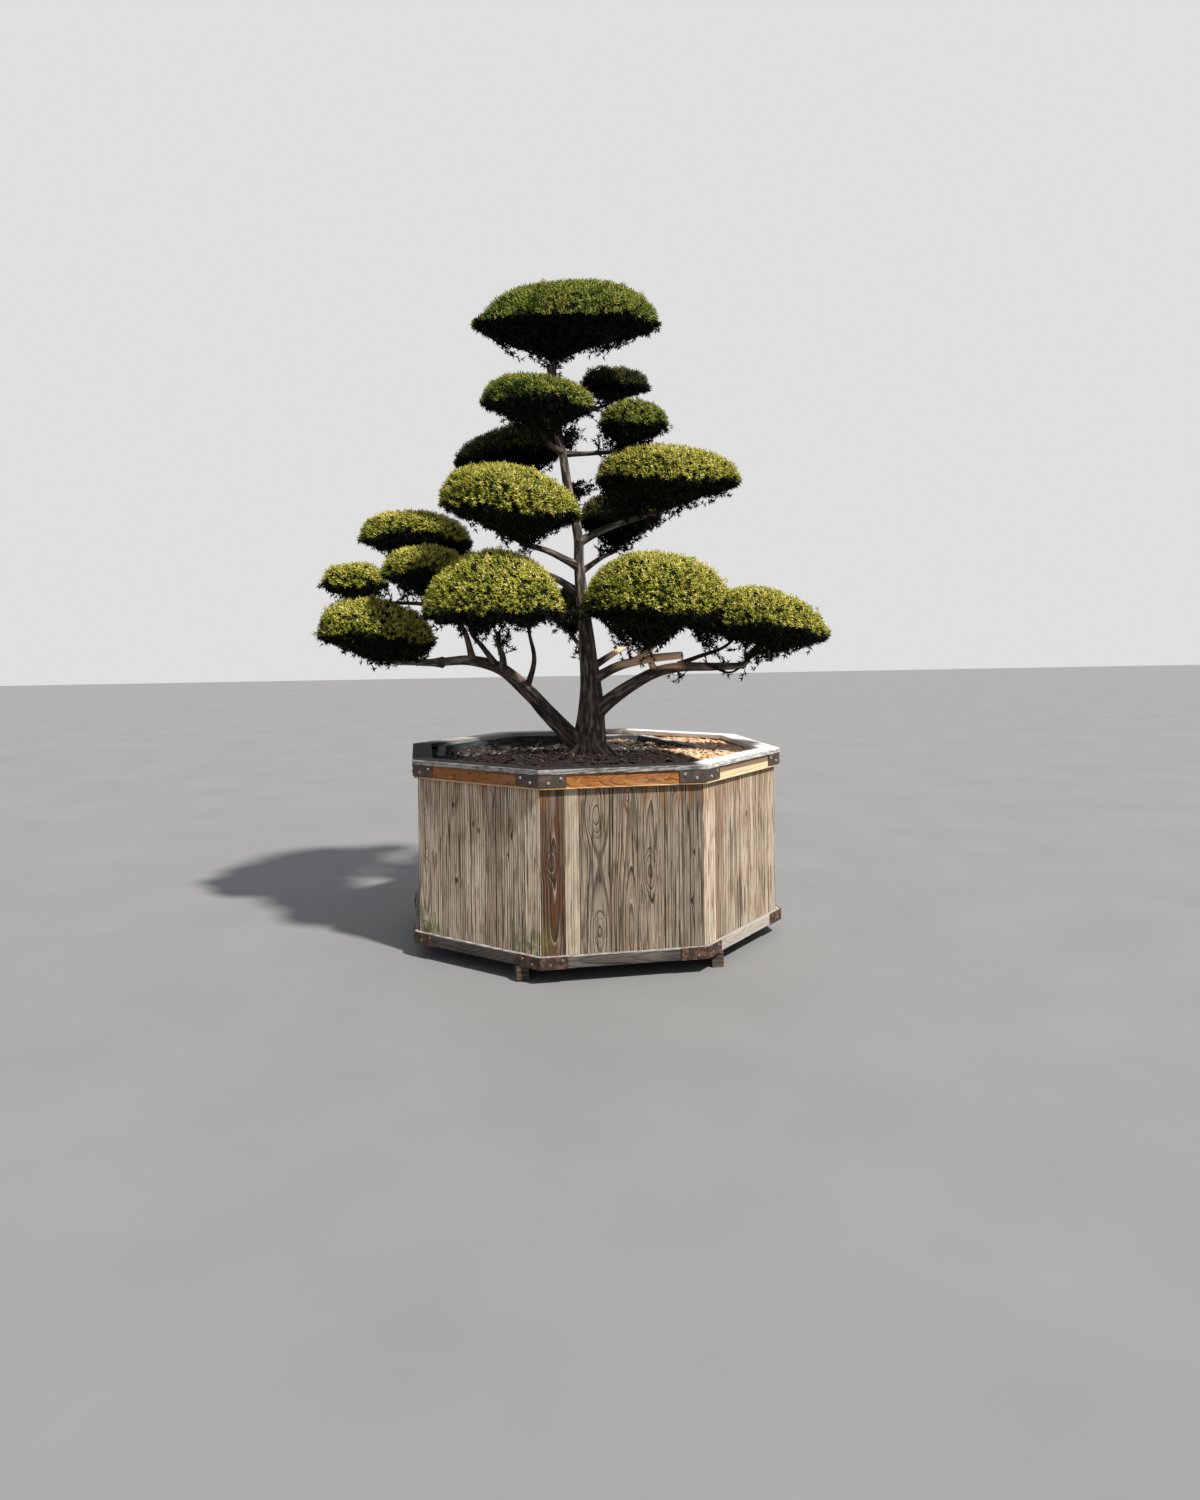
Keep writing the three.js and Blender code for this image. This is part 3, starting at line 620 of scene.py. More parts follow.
class Stems:
    """Tubes gathered into one mesh, with each point's place on the bark."""

    def __init__(self):
        self.points, self.faces, self.bark, self.count = [], [], [], 0

    def tube(self, route, radii, sides=14, steps=24, power=1.0, relief=0.0, collar=0.0):
        """A stem that tapers, with ridges in its bark and a collar at its foot."""
        line = spline(route, steps + 1)
        tangents = unit(np.gradient(line, axis=0))
        along = lengths(line)
        share = along / along[-1]
        radius = radii[1] + (radii[0] - radii[1]) * (1 - share) ** power
        radius = radius * (1 + collar * np.exp(-along / 0.04))
        first = across(tangents[:1])[0][0]
        turn = 2 * math.pi * np.arange(sides) / sides
        seed = 10.0 * (self.count + 1)
        rings, bark = [], []
        for centre, tangent, r, s in zip(line, tangents, radius, along):
            first = unit(first - tangent * (first @ tangent))
            second = np.cross(tangent, first)
            swell = np.ones(sides)
            if relief:
                for i, angle in enumerate(turn):
                    spot = Vector((math.cos(angle), math.sin(angle), 0))
                    ridge = noise.noise(Vector((spot.x * 1.3, spot.y * 1.3, s * 2.2 + seed)))
                    grain = noise.noise(Vector((spot.x * 4.5, spot.y * 4.5, s * 9 + seed)))
                    swell[i] = 1 + relief * (ridge + 0.4 * grain)
            rings.append(centre + toward(first, second, turn) * (r * swell)[:, None])
            bark.append(np.stack([r * np.cos(turn), r * np.sin(turn), np.full(sides, s + seed)], axis=1))
        start = self.count
        ends = [line[0], line[-1]]
        ring = np.arange(sides)
        after = (ring + 1) % sides
        for i in range(steps):
            a, b = start + i * sides, start + (i + 1) * sides
            self.faces.append(np.stack([a + ring, a + after, b + after], axis=1))
            self.faces.append(np.stack([a + ring, b + after, b + ring], axis=1))
        last = start + steps * sides
        foot = start + (steps + 1) * sides
        self.faces.append(np.stack([start + after, start + ring, np.full(sides, foot)], axis=1))
        self.faces.append(np.stack([last + ring, last + after, np.full(sides, foot + 1)], axis=1))
        self.points += [*rings, np.array(ends)]
        self.bark += [*bark, np.array([[0, 0, seed], [0, 0, seed + along[-1]]])]
        self.count = foot + 2
        return line

    def mesh(self, name):
        values = {"bark": np.concatenate(self.bark)}
        made = mesh_of(name, np.concatenate(self.points), np.concatenate(self.faces), values)
        made.shade_smooth()
        return made


def metres(route):
    """A route or radii in metres."""
    return np.array(route, float) * MM


def nearest(points, place):
    """The number of the point that lies nearest to a place."""
    return np.argmin(np.linalg.norm(points - place, axis=1))


def wood():
    """The trunk with its roots, the heavy limb, the forks, and the branches as far as their knots."""
    stems = Stems()
    for stem in (TRUNK, LIMB):
        stems.tube(
            metres(stem["route"]), metres(stem["radii"]), stem["sides"], stem["steps"],
            stem.get("power", 1), stem["relief"],
        )
    for i in range(ROOTS):
        angle = 2 * math.pi * (i + 0.3) / ROOTS
        reach = ROOT_REACH * (1 + 0.2 * math.sin(5 * i))
        route = [(reach * s * math.cos(angle), reach * s * math.sin(angle), z) for s, z in ROOT_COURSE]
        stems.tube(metres(route), metres(ROOT_RADII), sides=20, relief=0.12)
    for route, radii in FORKS + BARE_STEMS:
        stems.tube(metres(route), metres(radii), sides=12, steps=22, relief=0.08, collar=0.3)
    for _, route, radii in BRANCHES:
        tip = np.add(route[-1], TIP_REACH)
        stems.tube(metres([*route, tip]), metres(radii), steps=26, relief=0.1, collar=0.5)
    return stems


def twigs(stems, forms, rng):
    """Twigs that part from each branch and its knot, and again, on their way into the underside of the head.

    Returns, for each head, the places along the twigs where stray shoots grow, with their directions.
    """
    spurs = {name: [] for name in forms}
    forks = [metres(route) for route, _ in FORKS]
    for name, form in forms.items():
        routes = [metres(route) for head_name, route, _ in BRANCHES if head_name == name]
        knots = np.array([route[-1] for route in routes + forks])
        starts = [spline(route, 24)[9:] for route in routes] + [spline(route, 24)[12:] for route in forks]
        limbs = np.concatenate(starts)
        for route in routes:
            for start in spline(route, 90)[45::4]:
                way = unit(UP * 0.5 + rng.normal(0, 0.6, 3)) * rng.uniform(0.05, 0.12)
                side = stems.tube([start, start + way], SIDE_TWIG, 3, 3)
                leafy(spurs[name], side, 0.25, rng)
        for end in underside(form, TWIG_SPACING, rng):
            knot = knots[nearest(knots, end)]
            if np.linalg.norm(end - knot) < TWIG_SHORTEST:
                continue
            bend = 0.5 * (knot + end) + rng.normal(0, 0.014, 3) - 0.012 * UP
            line = stems.tube([knot, bend, end], TWIG, 5, 7)
            leafy(spurs[name], line, 0.25, rng)
            starts.append(line[1:6])
        starts = np.concatenate(starts)
        for end in underside(form, SPRIG_SPACING, rng):
            ways = end - starts
            cost = np.linalg.norm(ways, axis=1) + 0.5 * np.maximum(0, -ways[:, 2])
            fork = starts[np.argmin(cost + rng.uniform(0, 0.09, len(starts)))]
            reach = np.linalg.norm(end - fork)
            if not SPRIG_LIMITS[0] <= reach <= SPRIG_LIMITS[1]:
                continue
            bend = 0.5 * (fork + end) + rng.normal(0, 0.016, 3)
            line = stems.tube([fork, bend, end], SPRIG, 3, 4)
            leafy(spurs[name], line, 0.1, rng)
            for _ in range(SIDE_SPRIGS):
                start = line[rng.integers(1, 4)]
                way = unit(unit(end - fork) + rng.normal(0, 0.8, 3)) * rng.uniform(0.03, 0.08)
                side = stems.tube([start, start + way], SIDE_SPRIG, 3, 2)
                leafy(spurs[name], side, 0.2, rng)
        for place in underside(form, LACE_SPACING, rng):
            lace(stems, spurs[name], place, limbs, rng)
    for centre, spread, foot in THICKETS:
        thicket(stems, spurs["head_upper_back"], centre, spread, foot, rng)
    return spurs


def lace(stems, spurs, place, limbs, rng):
    """A leafy twig in the shade, from the underside of a head part of the way to the nearest branch."""
    way = limbs[nearest(limbs, place)] - place
    span = np.linalg.norm(way)
    if span < LACE_SHORTEST:
        return
    way = (way / span + rng.normal(0, 0.15, 3)) * min(span, LACE_REACH) * rng.uniform(0.4, 1)
    bend = place + 0.5 * way + rng.normal(0, 0.012, 3)
    line = stems.tube([place, bend, place + way], LACE, 3, 2)
    leafy(spurs, line, 0.0, rng, LACE_SPURS)


def thicket(stems, spurs, centre, spread, foot, rng):
    """Short leafy shoots that grow out of the trunk."""
    trunk = spline(metres(TRUNK["route"]), 200)
    for _ in range(THICKET_SHOOTS):
        end = metres(centre) + unit(rng.normal(0, 1, 3)) * spread * MM * rng.uniform(0.3, 1)
        start = trunk[np.argmin(np.abs(trunk[:, 2] - foot * MM - rng.uniform(-0.02, 0.05)))]
        bend = 0.5 * (start + end) + rng.normal(0, 0.008, 3)
        leafy(spurs, stems.tube([start, bend, end], THICKET, 3, 3), 0.3, rng, LACE_SPURS)


def underside(form, spacing, rng):
    """Places on the underside of a form, a little way into it."""
    places, facing = scatter(form, spacing, rng)
    return (places - INTO_HEAD * facing)[facing[:, 2] < -0.15]


def leafy(spurs, line, bare, rng, spacing=SPUR_SPACING):
    """Adds shoots along a twig, beyond the share of it that is bare."""
    along = lengths(line)
    for place in at(line, along, np.arange(bare * along[-1], along[-1], spacing)):
        spurs.append((place, unit(line[-1] - line[0]) * 0.5 + rng.normal(0, 0.6, 3) + 0.3 * UP))


def bark_look():
    """Fissured bark, painted near black on thin twigs, and a pale patch of painted sunlight on the limbs on
    the right, where they are cut.
    """
    look = Look("bark", Roughness=0.9, Specular_IOR_Level=0.25)
    bark = look.attribute("bark", 1)
    fissure = look.strands(bark, (60, 60, 14), 4.0)
    plate = look.cells(bark, (42, 42, 9))
    patch = look.strands(bark, (14, 14, 5), 2.0)
    base = look.ramp(fissure, (0.3, "1a1714"), (0.5, "3f3933"), (0.68, "80776b"))
    peel = look.mix(look.band(patch, 0.52, 0.68), base, "685347")
    x, _, z = look.parts(look.place())
    # Painted sunlight: a pale tan patch on the limbs on the right.
    level = look.band(abs(z - 1.29), 0.06, 0.04)
    beside = look.band(abs(x - 0.26), 0.17, 0.12)
    painted_sun_patch = level * beside * look.band(patch, 0.28, 0.42)
    color = look.mix(painted_sun_patch * 0.95, look.mix(0.65, base, peel), "d9b594")
    # Thin twigs are painted near black: painted shade under the heads.
    bark_x, bark_y, _ = look.parts(bark)
    radius = look.math("SQRT", bark_x * bark_x + bark_y * bark_y)
    color = look.mix(look.band(radius, 0.015, 0.005), color, "16120f")
    return look.finish(color, fissure + plate * 0.6, 0.012)


# Timber of the box


class Shapes:
    """Shapes gathered into one mesh, with values stored on their points."""

    def __init__(self):
        self.points, self.faces, self.slots, self.values = [], [], [], {}

    def take(self, made, place=None, slot=0, **values):
        start = len(self.points)
        made.verts.index_update()
        for vertex in made.verts:
            self.points.append(tuple(place(vertex.co)) if place else tuple(vertex.co))
            for key, value in values.items():
                stored = value(vertex.co) if callable(value) else value
                self.values.setdefault(key, []).append(stored)
        for face in made.faces:
            self.faces.append([start + vertex.index for vertex in face.verts])
            self.slots.append(slot)
        made.free()

    def mesh(self, name):
        made = bpy.data.meshes.new(name)
        made.from_pydata(self.points, [], self.faces)
        made.polygons.foreach_set("material_index", self.slots)
        store(made, self.values)
        return made


def prism(outline, low, high, bevel):
    """A prism with rounded edges, in its side's own frame."""
    made = bmesh.new()
    bottom = [made.verts.new((x, y, low)) for x, y in outline]
    top = [made.verts.new((x, y, high)) for x, y in outline]
    made.faces.new(bottom[::-1])
    made.faces.new(top)
    for i in range(len(outline)):
        j = (i + 1) % len(outline)
        made.faces.new((bottom[i], bottom[j], top[j], top[i]))
    bmesh.ops.recalc_face_normals(made, faces=made.faces)
    bmesh.ops.bevel(made, geom=made.edges[:], offset=bevel, segments=2, profile=0.6, affect="EDGES")
    return made


def turned(side):
    """Takes a point from the frame of the front side to another side."""
    angle = 2 * HALF_TURN * side
    c, s = math.cos(angle), math.sin(angle)
    return lambda p: (p[0] * c - p[1] * s, p[0] * s + p[1] * c, p[2])


def half_length(apothem):
    return apothem * math.tan(HALF_TURN)


def mitred(outer, inner):
    """The outline of a board along a whole side, mitred at both ends."""
    far, near = half_length(outer) - JOINT / 2, half_length(inner) - JOINT / 2
    return [(-far, -outer), (far, -outer), (near, -inner), (-near, -inner)]


# The boards of the three sides that show: each board's share of the side's width, how light it is, how warm,
# and its knots, each at a share of the width and a height, with its size. Their lightness holds painted shade
# and light: the front side's boards are painted darker and the front-left side's lighter, for how the light
# falls.
SHOWN_BOARDS = {
    0: [
        (24, 0.12, 1.0, [(0.35, 0.48, 0.022)]),
        (15, 0.33, -1.0, []),
        (31, 0.13, 0.1, [(0.5, 0.66, 0.03), (0.62, 0.2, 0.022)]),
        (28, 0.2, 0.35, [(0.6, 0.74, 0.02)]),
        (28, 0.2, 0.3, [(0.45, 0.43, 0.034)]),
        (19, 0.15, 0.15, [(0.7, 0.76, 0.015)]),
        (22, 0.08, 0.05, [(0.55, 0.5, 0.009), (0.4, 0.3, 0.009)]),
    ],
    1: [
        (17, 0.75, 0.0, []),
        (12, 0.5, 0.7, []),
        (25, 0.5, 0.2, []),
        (22, 0.55, 0.1, [(0.5, 0.6, 0.01)]),
        (20, 0.5, 0.25, []),
        (18, 0.6, 0.05, []),
    ],
    7: [
        (29, 0.8, 0.1, [(0.35, 0.52, 0.03), (0.2, 0.62, 0.022)]),
        (26, 0.85, 0.15, [(0.5, 0.68, 0.01), (0.6, 0.36, 0.01)]),
        (25, 0.9, 0.1, [(0.4, 0.61, 0.008), (0.65, 0.585, 0.008)]),
        (19, 0.75, 0.45, [(0.4, 0.72, 0.014)]),
        (22, 0.9, 0.05, [(0.4, 0.58, 0.01), (0.2, 0.5, 0.006)]),
        (17, 1.0, 0.05, []),
    ],
}
# A knot too far away to be seen, and the range of seeds that give each board its own grain.
NO_KNOT = (9.0, 9.0, 0.01)
SEEDS = (0, 60)
# How light the cap is painted on each side: painted sunlight on the right, painted shade on the front and the
# left.
CAP_PAINTED_LIGHT = (0.5, 1.0, 0.8, 0.7, 0.65, 0.6, 0.4, 0.3)


def board_plan(side, rng):
    """The boards of a side, as those that show are given and the others are drawn."""
    if side in SHOWN_BOARDS:
        return SHOWN_BOARDS[side]
    plan = []
    for _ in range(6):
        knots = []
        if rng.random() < 0.6:
            knots.append((rng.uniform(0.3, 0.7), rng.uniform(0.2, 0.75), rng.uniform(0.008, 0.03)))
        plan.append((rng.uniform(17, 29), rng.uniform(0.5, 0.85), rng.uniform(0, 0.4), knots))
    return plan


def side_boards(side, look, rng):
    """Upright boards side by side, each with its own width and grain."""
    shapes = Shapes()
    inner = BOARD_OUTER - BOARD_THICKNESS
    far, near = half_length(BOARD_OUTER) - JOINT / 2, half_length(inner) - JOINT / 2
    plan = board_plan(side, rng)
    total = sum(board[0] for board in plan)
    left = -far
    for width, light, warm, knots in plan:
        right = left + 2 * far * width / total
        proud = rng.uniform(-0.0012, 0)
        outline = [
            (left + JOINT / 2, -BOARD_OUTER - proud),
            (right - JOINT / 2, -BOARD_OUTER - proud),
            (min(right - JOINT / 2, near), -inner),
            (max(left + JOINT / 2, -near), -inner),
        ]
        middle = (left + right) / 2
        seed = rng.uniform(*SEEDS)
        places = [(left + (right - left) * k[0] - middle, k[1], k[2]) for k in knots] + [NO_KNOT] * 2
        pith = (rng.uniform(-0.03, 0.03), rng.uniform(0.02, 0.05), rng.uniform(-0.05, 0.05))
        if not any(k[2] > 0.015 for k in knots):
            pith = (rng.choice((-1, 1)) * rng.uniform(0.09, 0.2), rng.uniform(0, 0.03), 0.02)
        shapes.take(
            prism(outline, BOARD_FOOT, BOARD_HEAD, BOARD_EDGE),
            turned(side),
            grain=lambda p, m=middle: (p.x - m, p.y + BOARD_OUTER, p.z),
            pith=pith,
            board=(seed, light, warm),
            knot=places[0],
            twin=places[1],
        )
        left = right
    name = f"side_boards_{side + 1}"
    piece(name + "_planks", shapes.mesh(name), [look], "side_board_timber", name)


def rails(name, levels, look, warmest, rng):
    """Eight mitred boards round the box."""
    shapes = Shapes()
    for side in range(SIDES):
        seed = rng.uniform(*SEEDS)
        shapes.take(
            prism(mitred(RAIL_OUTER, BOARD_OUTER + CLEARANCE), *levels, RAIL_EDGE),
            turned(side),
            grain=lambda p: (p.z - levels[0], p.y + RAIL_OUTER, p.x),
            pith=(rng.uniform(-0.02, 0.04), rng.uniform(0.02, 0.05), rng.uniform(-0.1, 0.1)),
            board=(seed, rng.uniform(0.85, 1), rng.uniform(0, warmest)),
            knot=NO_KNOT,
            twin=NO_KNOT,
        )
    piece(name + "_boards", shapes.mesh(name + "_boards"), [look], name + "_timber", name)


def cap(side, look, rng):
    """A flat mitred board on top of the box."""
    shapes = Shapes()
    shapes.take(
        prism(mitred(CAP_OUTER, CAP_OUTER - CAP_WIDTH), CAP_TOP - CAP_THICKNESS, CAP_TOP, CAP_EDGE),
        turned(side),
        grain=lambda p: (p.y + CAP_OUTER, CAP_TOP - p.z, p.x),
        pith=(rng.uniform(0.02, 0.07), rng.uniform(0.02, 0.05), rng.uniform(-0.1, 0.1)),
        # Painted sunlight and shade: how light the cap is on this side.
        board=(rng.uniform(*SEEDS), CAP_PAINTED_LIGHT[side], rng.uniform(0, 0.3)),
        knot=NO_KNOT,
        twin=NO_KNOT,
    )
    name = f"cap_board_{side + 1}"
    piece(name + "_plank", shapes.mesh(name + "_plank"), [look], "cap_timber", name)


def knotted(look, x, z, knot):
    """How far a knot draws the rings aside at a point, and how much of its dark middle is there."""
    knot_x, knot_z, size = look.parts(look.attribute(knot, 1))
    dx = (x - knot_x) / size
    dz = (z - knot_z) / (size * 2.4)
    near = look.math("POWER", 2.718, (dx * dx + dz * dz) * -1.0)
    return near * (size * 1.15), near * look.band(size, 0.018, 0.011)


def timber_look(name, pale, dark, warm, ring, contrast, dress=None, roughness=0.85):
    """Sawn timber: growth rings round a pith that wanders behind the face, with knots, fibres and checks."""
    look = Look(name, Roughness=roughness, Specular_IOR_Level=0.25)
    x, y, z = look.parts(look.attribute("grain", 1))
    pith_x, pith_y, tilt = look.parts(look.attribute("pith", 1))
    seed, light, warmth = look.parts(look.attribute("board", 1))
    moved = look.vector(x + seed, y, z)

    pull, middle = knotted(look, x, z, "knot")
    twin_pull, twin_middle = knotted(look, x, z, "twin")
    aside = x - pith_x
    wander = look.strands(moved, (4, 4, 1.6), 1.0)
    depth = pith_y + y + (z - 0.45) * tilt + (wander - 0.5) * 0.11
    ripple = look.strands(moved, (18, 18, 3), 2.0)
    radius = look.math("SQRT", aside * aside + depth * depth) - (pull + twin_pull) + ripple * 0.009
    years = look.noise(look.vector(radius * 45.0, seed, 0.0), 1.0, 2.0)
    turn = look.math("FRACT", radius / ring + years * 2.2)
    late = look.ramp(turn, (0.0, 0.0), (0.58, 0.1), (0.83, 1.0), (0.95, 0.85), (1.0, 0.0))
    season = look.noise(look.vector(radius * 50.0, seed, z * 0.8), 1.0, 1.0)
    line = late * look.ramp(season, (0.36, 0.5), (0.56, 1.0))
    # Pale early wood beside each dark line: partly its own colour, partly a painted highlight on the ridge.
    ridge = look.ramp(turn, (0.0, 0.9), (0.16, 0.0))

    fibre = look.strands(moved, (190, 190, 8), 3.0)
    streak = look.strands(moved, (30, 30, 1.8), 3.0)
    crack = look.band(look.strands(moved, (95, 95, 2.6), 2.0), 0.6, 0.65)
    mottle = look.strands(moved, (16, 16, 6), 4.0)
    grey = look.strands(moved, (9, 9, 3), 3.0)
    marked = look.ramp(look.band(warmth, -1.0, 0.0), (0.0, 0.25), (1.0, 1.0)) * contrast
    reddened = look.math("MAXIMUM", warmth, 0.0) * look.band(streak, 0.2, 0.55)
    spot = look.band(look.math("MAXIMUM", middle, twin_middle), 0.5, 0.85)

    color = look.mix(reddened, pale, look.mix(0.6, warm, "7c4423"))
    color = look.mix(ridge * 0.85, color, "f2e6d2" if contrast > 0.9 else pale)
    color = look.mix(line * marked, color, dark)
    color = look.mix(0.5, color, look.ramp(streak, (0.35, 0.5), (0.6, 1.0)), "MULTIPLY")
    color = look.mix(look.band(mottle, 0.46, 0.7) * 0.45, color, warm)
    color = look.mix(look.band(fibre, 0.52, 0.62) * (marked * 0.65), color, dark)
    color = look.mix(crack * (marked * 0.9), color, dark)
    color = look.mix(look.band(grey, 0.42, 0.68) * 0.22, color, "8f877b")
    # Each board's lightness, which also carries painted shade on the front side and painted light on the
    # front-left.
    color = look.mix(0.8, color, look.ramp(light, (0.0, 0.05), (1.0, 1.0)), "MULTIPLY")
    color = look.mix(spot * 0.9, color, "2c1c13")
    if dress:
        color = dress(look, color, x, y, z)
    return look.finish(color, line * -1.0 + fibre * 0.6 - crack * 1.5, 0.002)


def dress_boards(look, color, x, y, z):
    """Brown runs from under the rail, algae at the foot beside the left corner, and painted shade on the
    inner faces.
    """
    place = look.place()
    along = look.parts(place)[0]
    runs = look.strands(place, (42, 42, 2.5), 2.0)
    stain = look.band(z, 0.62, 0.80) * look.band(runs, 0.46, 0.62)
    color = look.mix(stain * 0.75, color, "74481f")
    patch = look.band(look.strands(place, (30, 30, 36), 4.0), 0.32, 0.66)
    beside = look.math("MAXIMUM", look.band(along, -0.67, -0.78), look.band(abs(along + 0.37), 0.11, 0.03))
    algae = look.band(z, 0.28, 0.12) * patch * beside
    color = look.mix(algae * 0.8, color, "565a24")
    # Painted shade: the inner faces of the boards are near black.
    return look.mix(look.band(y, 0.012, 0.022), color, "23262a")


def wear_and_highlight_edge(start, end, code):
    """A dress for a board whose paler edge, partly wear and partly a painted highlight, lies between these
    distances across its grain.
    """
    def dress(look, color, x, y, z):
        edge_wear_and_light = look.strands(look.place(), (30, 30, 90), 3.0)
        edge = look.band(x, start, end) * look.ramp(edge_wear_and_light, (0.35, 0.35), (0.6, 1.0))
        return look.mix(edge, color, code)
    return dress


def painted_sun_side(look):
    """Where the sides on the right of the box lie, which are painted lighter: painted sunlight."""
    return look.band(look.parts(look.place())[0], 0.344, 0.356)


def dress_lower_rail(look, color, x, y, z):
    """Painted sunlight on the right, with a pale upper edge that is partly wear and partly a painted
    highlight.
    """
    # Painted sunlight on the sides on the right.
    color = look.mix(painted_sun_side(look) * 0.7, color, "a39b91")
    return wear_and_highlight_edge(0.044, 0.049, "8e8a85")(look, color, x, y, z)


def dress_upper_rail(look, color, x, y, z):
    """Stained honey-coloured wood with a pale lower edge, with painted sunlight on the right but for a band
    of painted shadow of the cap on top.
    """
    seed = look.parts(look.attribute("board", 1))[0]
    spot = look.noise(look.vector(x * 22.0, seed, z * 11.0), 1.0, 4.0)
    blot = look.noise(look.vector(x * 60.0, seed, z * 34.0), 1.0, 3.0)
    color = look.mix(look.band(spot, 0.48, 0.64) * 0.75, color, "8a521f")
    color = look.mix(look.band(blot, 0.56, 0.66) * 0.8, color, "4f2f14")
    # Painted sunlight on the sides on the right.
    painted_sun = painted_sun_side(look)
    color = look.mix(painted_sun * 0.85, color, "c4b493")
    # Painted shadow of the cap, a brown band along the top on the right.
    cap_painted_shadow = look.band(look.parts(look.place())[2], 0.812, 0.817)
    color = look.mix(painted_sun * cap_painted_shadow * 0.85, color, "5d4231")
    return look.mix(look.band(x, 0.009, 0.003) * 0.5, color, "f0c893")


def dress_cap(look, color, x, y, z):
    """Painted shadow of the tree, dark grey, on the front and left; painted sunlight, near white, on the
    right and at the back; and a pale edge, partly wear and partly a painted highlight.
    """
    along, back, _ = look.parts(look.place())
    # Painted sunlight on the right and at the back; painted shadow, dark grey, elsewhere.
    cap_painted_sun = look.math("MAXIMUM", look.band(along, 0.3, 0.36), look.band(back, 0.3, 0.5) * 0.6)
    color = look.mix(1.0 - cap_painted_sun, color, "333335", "MULTIPLY")
    color = look.mix(cap_painted_sun * 0.45, color, "f2efe9")
    return wear_and_highlight_edge(0.004, 0.001, "8b8885")(look, color, x, y, z)


def corner_plate(name, corner, low, looks, slot):
    """A steel plate bent round a corner, with two round bolt heads in each leg."""
    back = RAIL_OUTER + CLEARANCE
    face = back + PLATE_THICKNESS
    end = half_length(face) - PLATE_LEG
    next_side = turned(1)
    outline = [
        (end, -face),
        (half_length(face), -face),
        next_side((-end, -face, 0))[:2],
        next_side((-end, -back, 0))[:2],
        (half_length(back), -back),
        (end, -back),
    ]
    shapes = Shapes()
    shapes.take(prism(outline, low, low + PLATE_HEIGHT, PLATE_EDGE), turned(corner))
    for leg in (0, 1):
        for share, height in BOLT_PLACES:
            along = end + PLATE_LEG * share
            bolt = bmesh.new()
            bmesh.ops.create_cone(
                bolt, cap_ends=True, segments=14, radius1=BOLT_RADIUS, radius2=BOLT_RADIUS * BOLT_TAPER,
                depth=BOLT_PROUD + BOLT_SUNK,
            )
            bmesh.ops.bevel(
                bolt, geom=[e for e in bolt.edges if e.calc_face_angle(0) > 0.5], offset=BOLT_EDGE,
                segments=2, profile=0.5, affect="EDGES",
            )
            x = -along if leg else along
            y = -(face + (BOLT_PROUD - BOLT_SUNK) / 2)
            z = low + PLATE_HEIGHT * height
            turn = turned(corner + leg)
            shapes.take(bolt, lambda p: turn((x + p.x, y - p.z, z + p.y)), 1)
    piece(name + "_steel", shapes.mesh(name + "_steel"), looks, slot, name)


def steel_look(name, base, rust, amount):
    """Old painted steel, pitted, with this share more of its surface gone to rust."""
    look = Look(name, Roughness=0.6, Metallic=0.35)
    place = look.place()
    spread = look.band(look.noise(place, 38.0, 5.0), 0.62 - amount, 0.78 - amount)
    pits = look.noise(place, 240.0, 2.0)
    color = look.mix(look.band(pits, 0.6, 0.72), look.mix(spread, base, rust), "15110f")
    return look.finish(color, pits, 0.0008, look.ramp(spread, (0.0, 0.5), (1.0, 0.9)))


def raw_timber_look(name, pale, dark, top=None):
    """Timber out of sight, or with a top edge painted lighter on the right where the mulch leaves it open:
    painted sunlight.
    """
    look = Look(name, Roughness=0.85, Specular_IOR_Level=0.2)
    place = look.place()
    fibre = look.strands(place, (9, 9, 120), 4.0)
    patch = look.noise(place, 6.0, 3.0)
    color = look.mix(look.band(fibre, 0.35, 0.65), dark, pale)
    color = look.mix(look.band(patch, 0.4, 0.7) * 0.5, color, dark)
    if top:
        x, _, z = look.parts(place)
        edge_wear_and_light = look.mix(look.band(fibre, 0.4, 0.6), top, pale)
        # Painted sunlight on the top edge on the right.
        color = look.mix(look.band(z, 0.843, 0.8485) * look.band(x, 0.0, 0.2), color, edge_wear_and_light)
    return look.finish(color, fibre, 0.0015)


# Soil

SOIL_RINGS = 62
SOIL_SEGMENTS = 176
SOIL_FOOT = 0.102
SOIL_GAP = 0.0005
# A level that the packed soil lies over, the levels where its heap begins and ends, and the stones' limit.
LOWEST_SOIL = 0.785
HEAP = (0.815, 0.835)
STONES_BELOW = 0.822
# Loose bark chips and stones: how many, and half the size of the largest.
CHIPS = 3200
CHIP = np.array([0.019, 0.009, 0.0035])
STONES = 420
STONE = np.array([0.008, 0.007, 0.005])
# The faces of a box, from corners whose last coordinate changes first.
BOX_FACES = [(0, 1, 3, 2), (4, 6, 7, 5), (0, 4, 5, 1), (2, 3, 7, 6), (0, 2, 6, 4), (1, 5, 7, 3)]


def soil_heights(places):
    """The level of the packed soil under each place, taken from beside it where a piece stands."""
    source = NODES["soil"].data
    tree = BVHTree.FromPolygons([tuple(v.co) for v in source.vertices],
                                [tuple(p.vertices) for p in source.polygons])
    down = Vector((0, 0, -1))
    heights = np.full(len(places), np.nan)
    for i, (x, y) in enumerate(places):
        hit = tree.ray_cast(Vector((x, y, 1.2)), down)[0]
        if hit is not None and hit.z > LOWEST_SOIL:
            heights[i] = hit.z
    known = np.flatnonzero(~np.isnan(heights))
    for i in np.flatnonzero(np.isnan(heights)):
        beside = known[np.argmin(((places[known] - places[i]) ** 2).sum(1))]
        heights[i] = heights[beside]
    return heights


def octagon_reach(angle, apothem):
    """The distance from the middle of the box to a side, in each direction."""
    beside = (angle + math.pi / 2 + HALF_TURN) % (2 * HALF_TURN) - HALF_TURN
    return apothem / np.cos(beside)


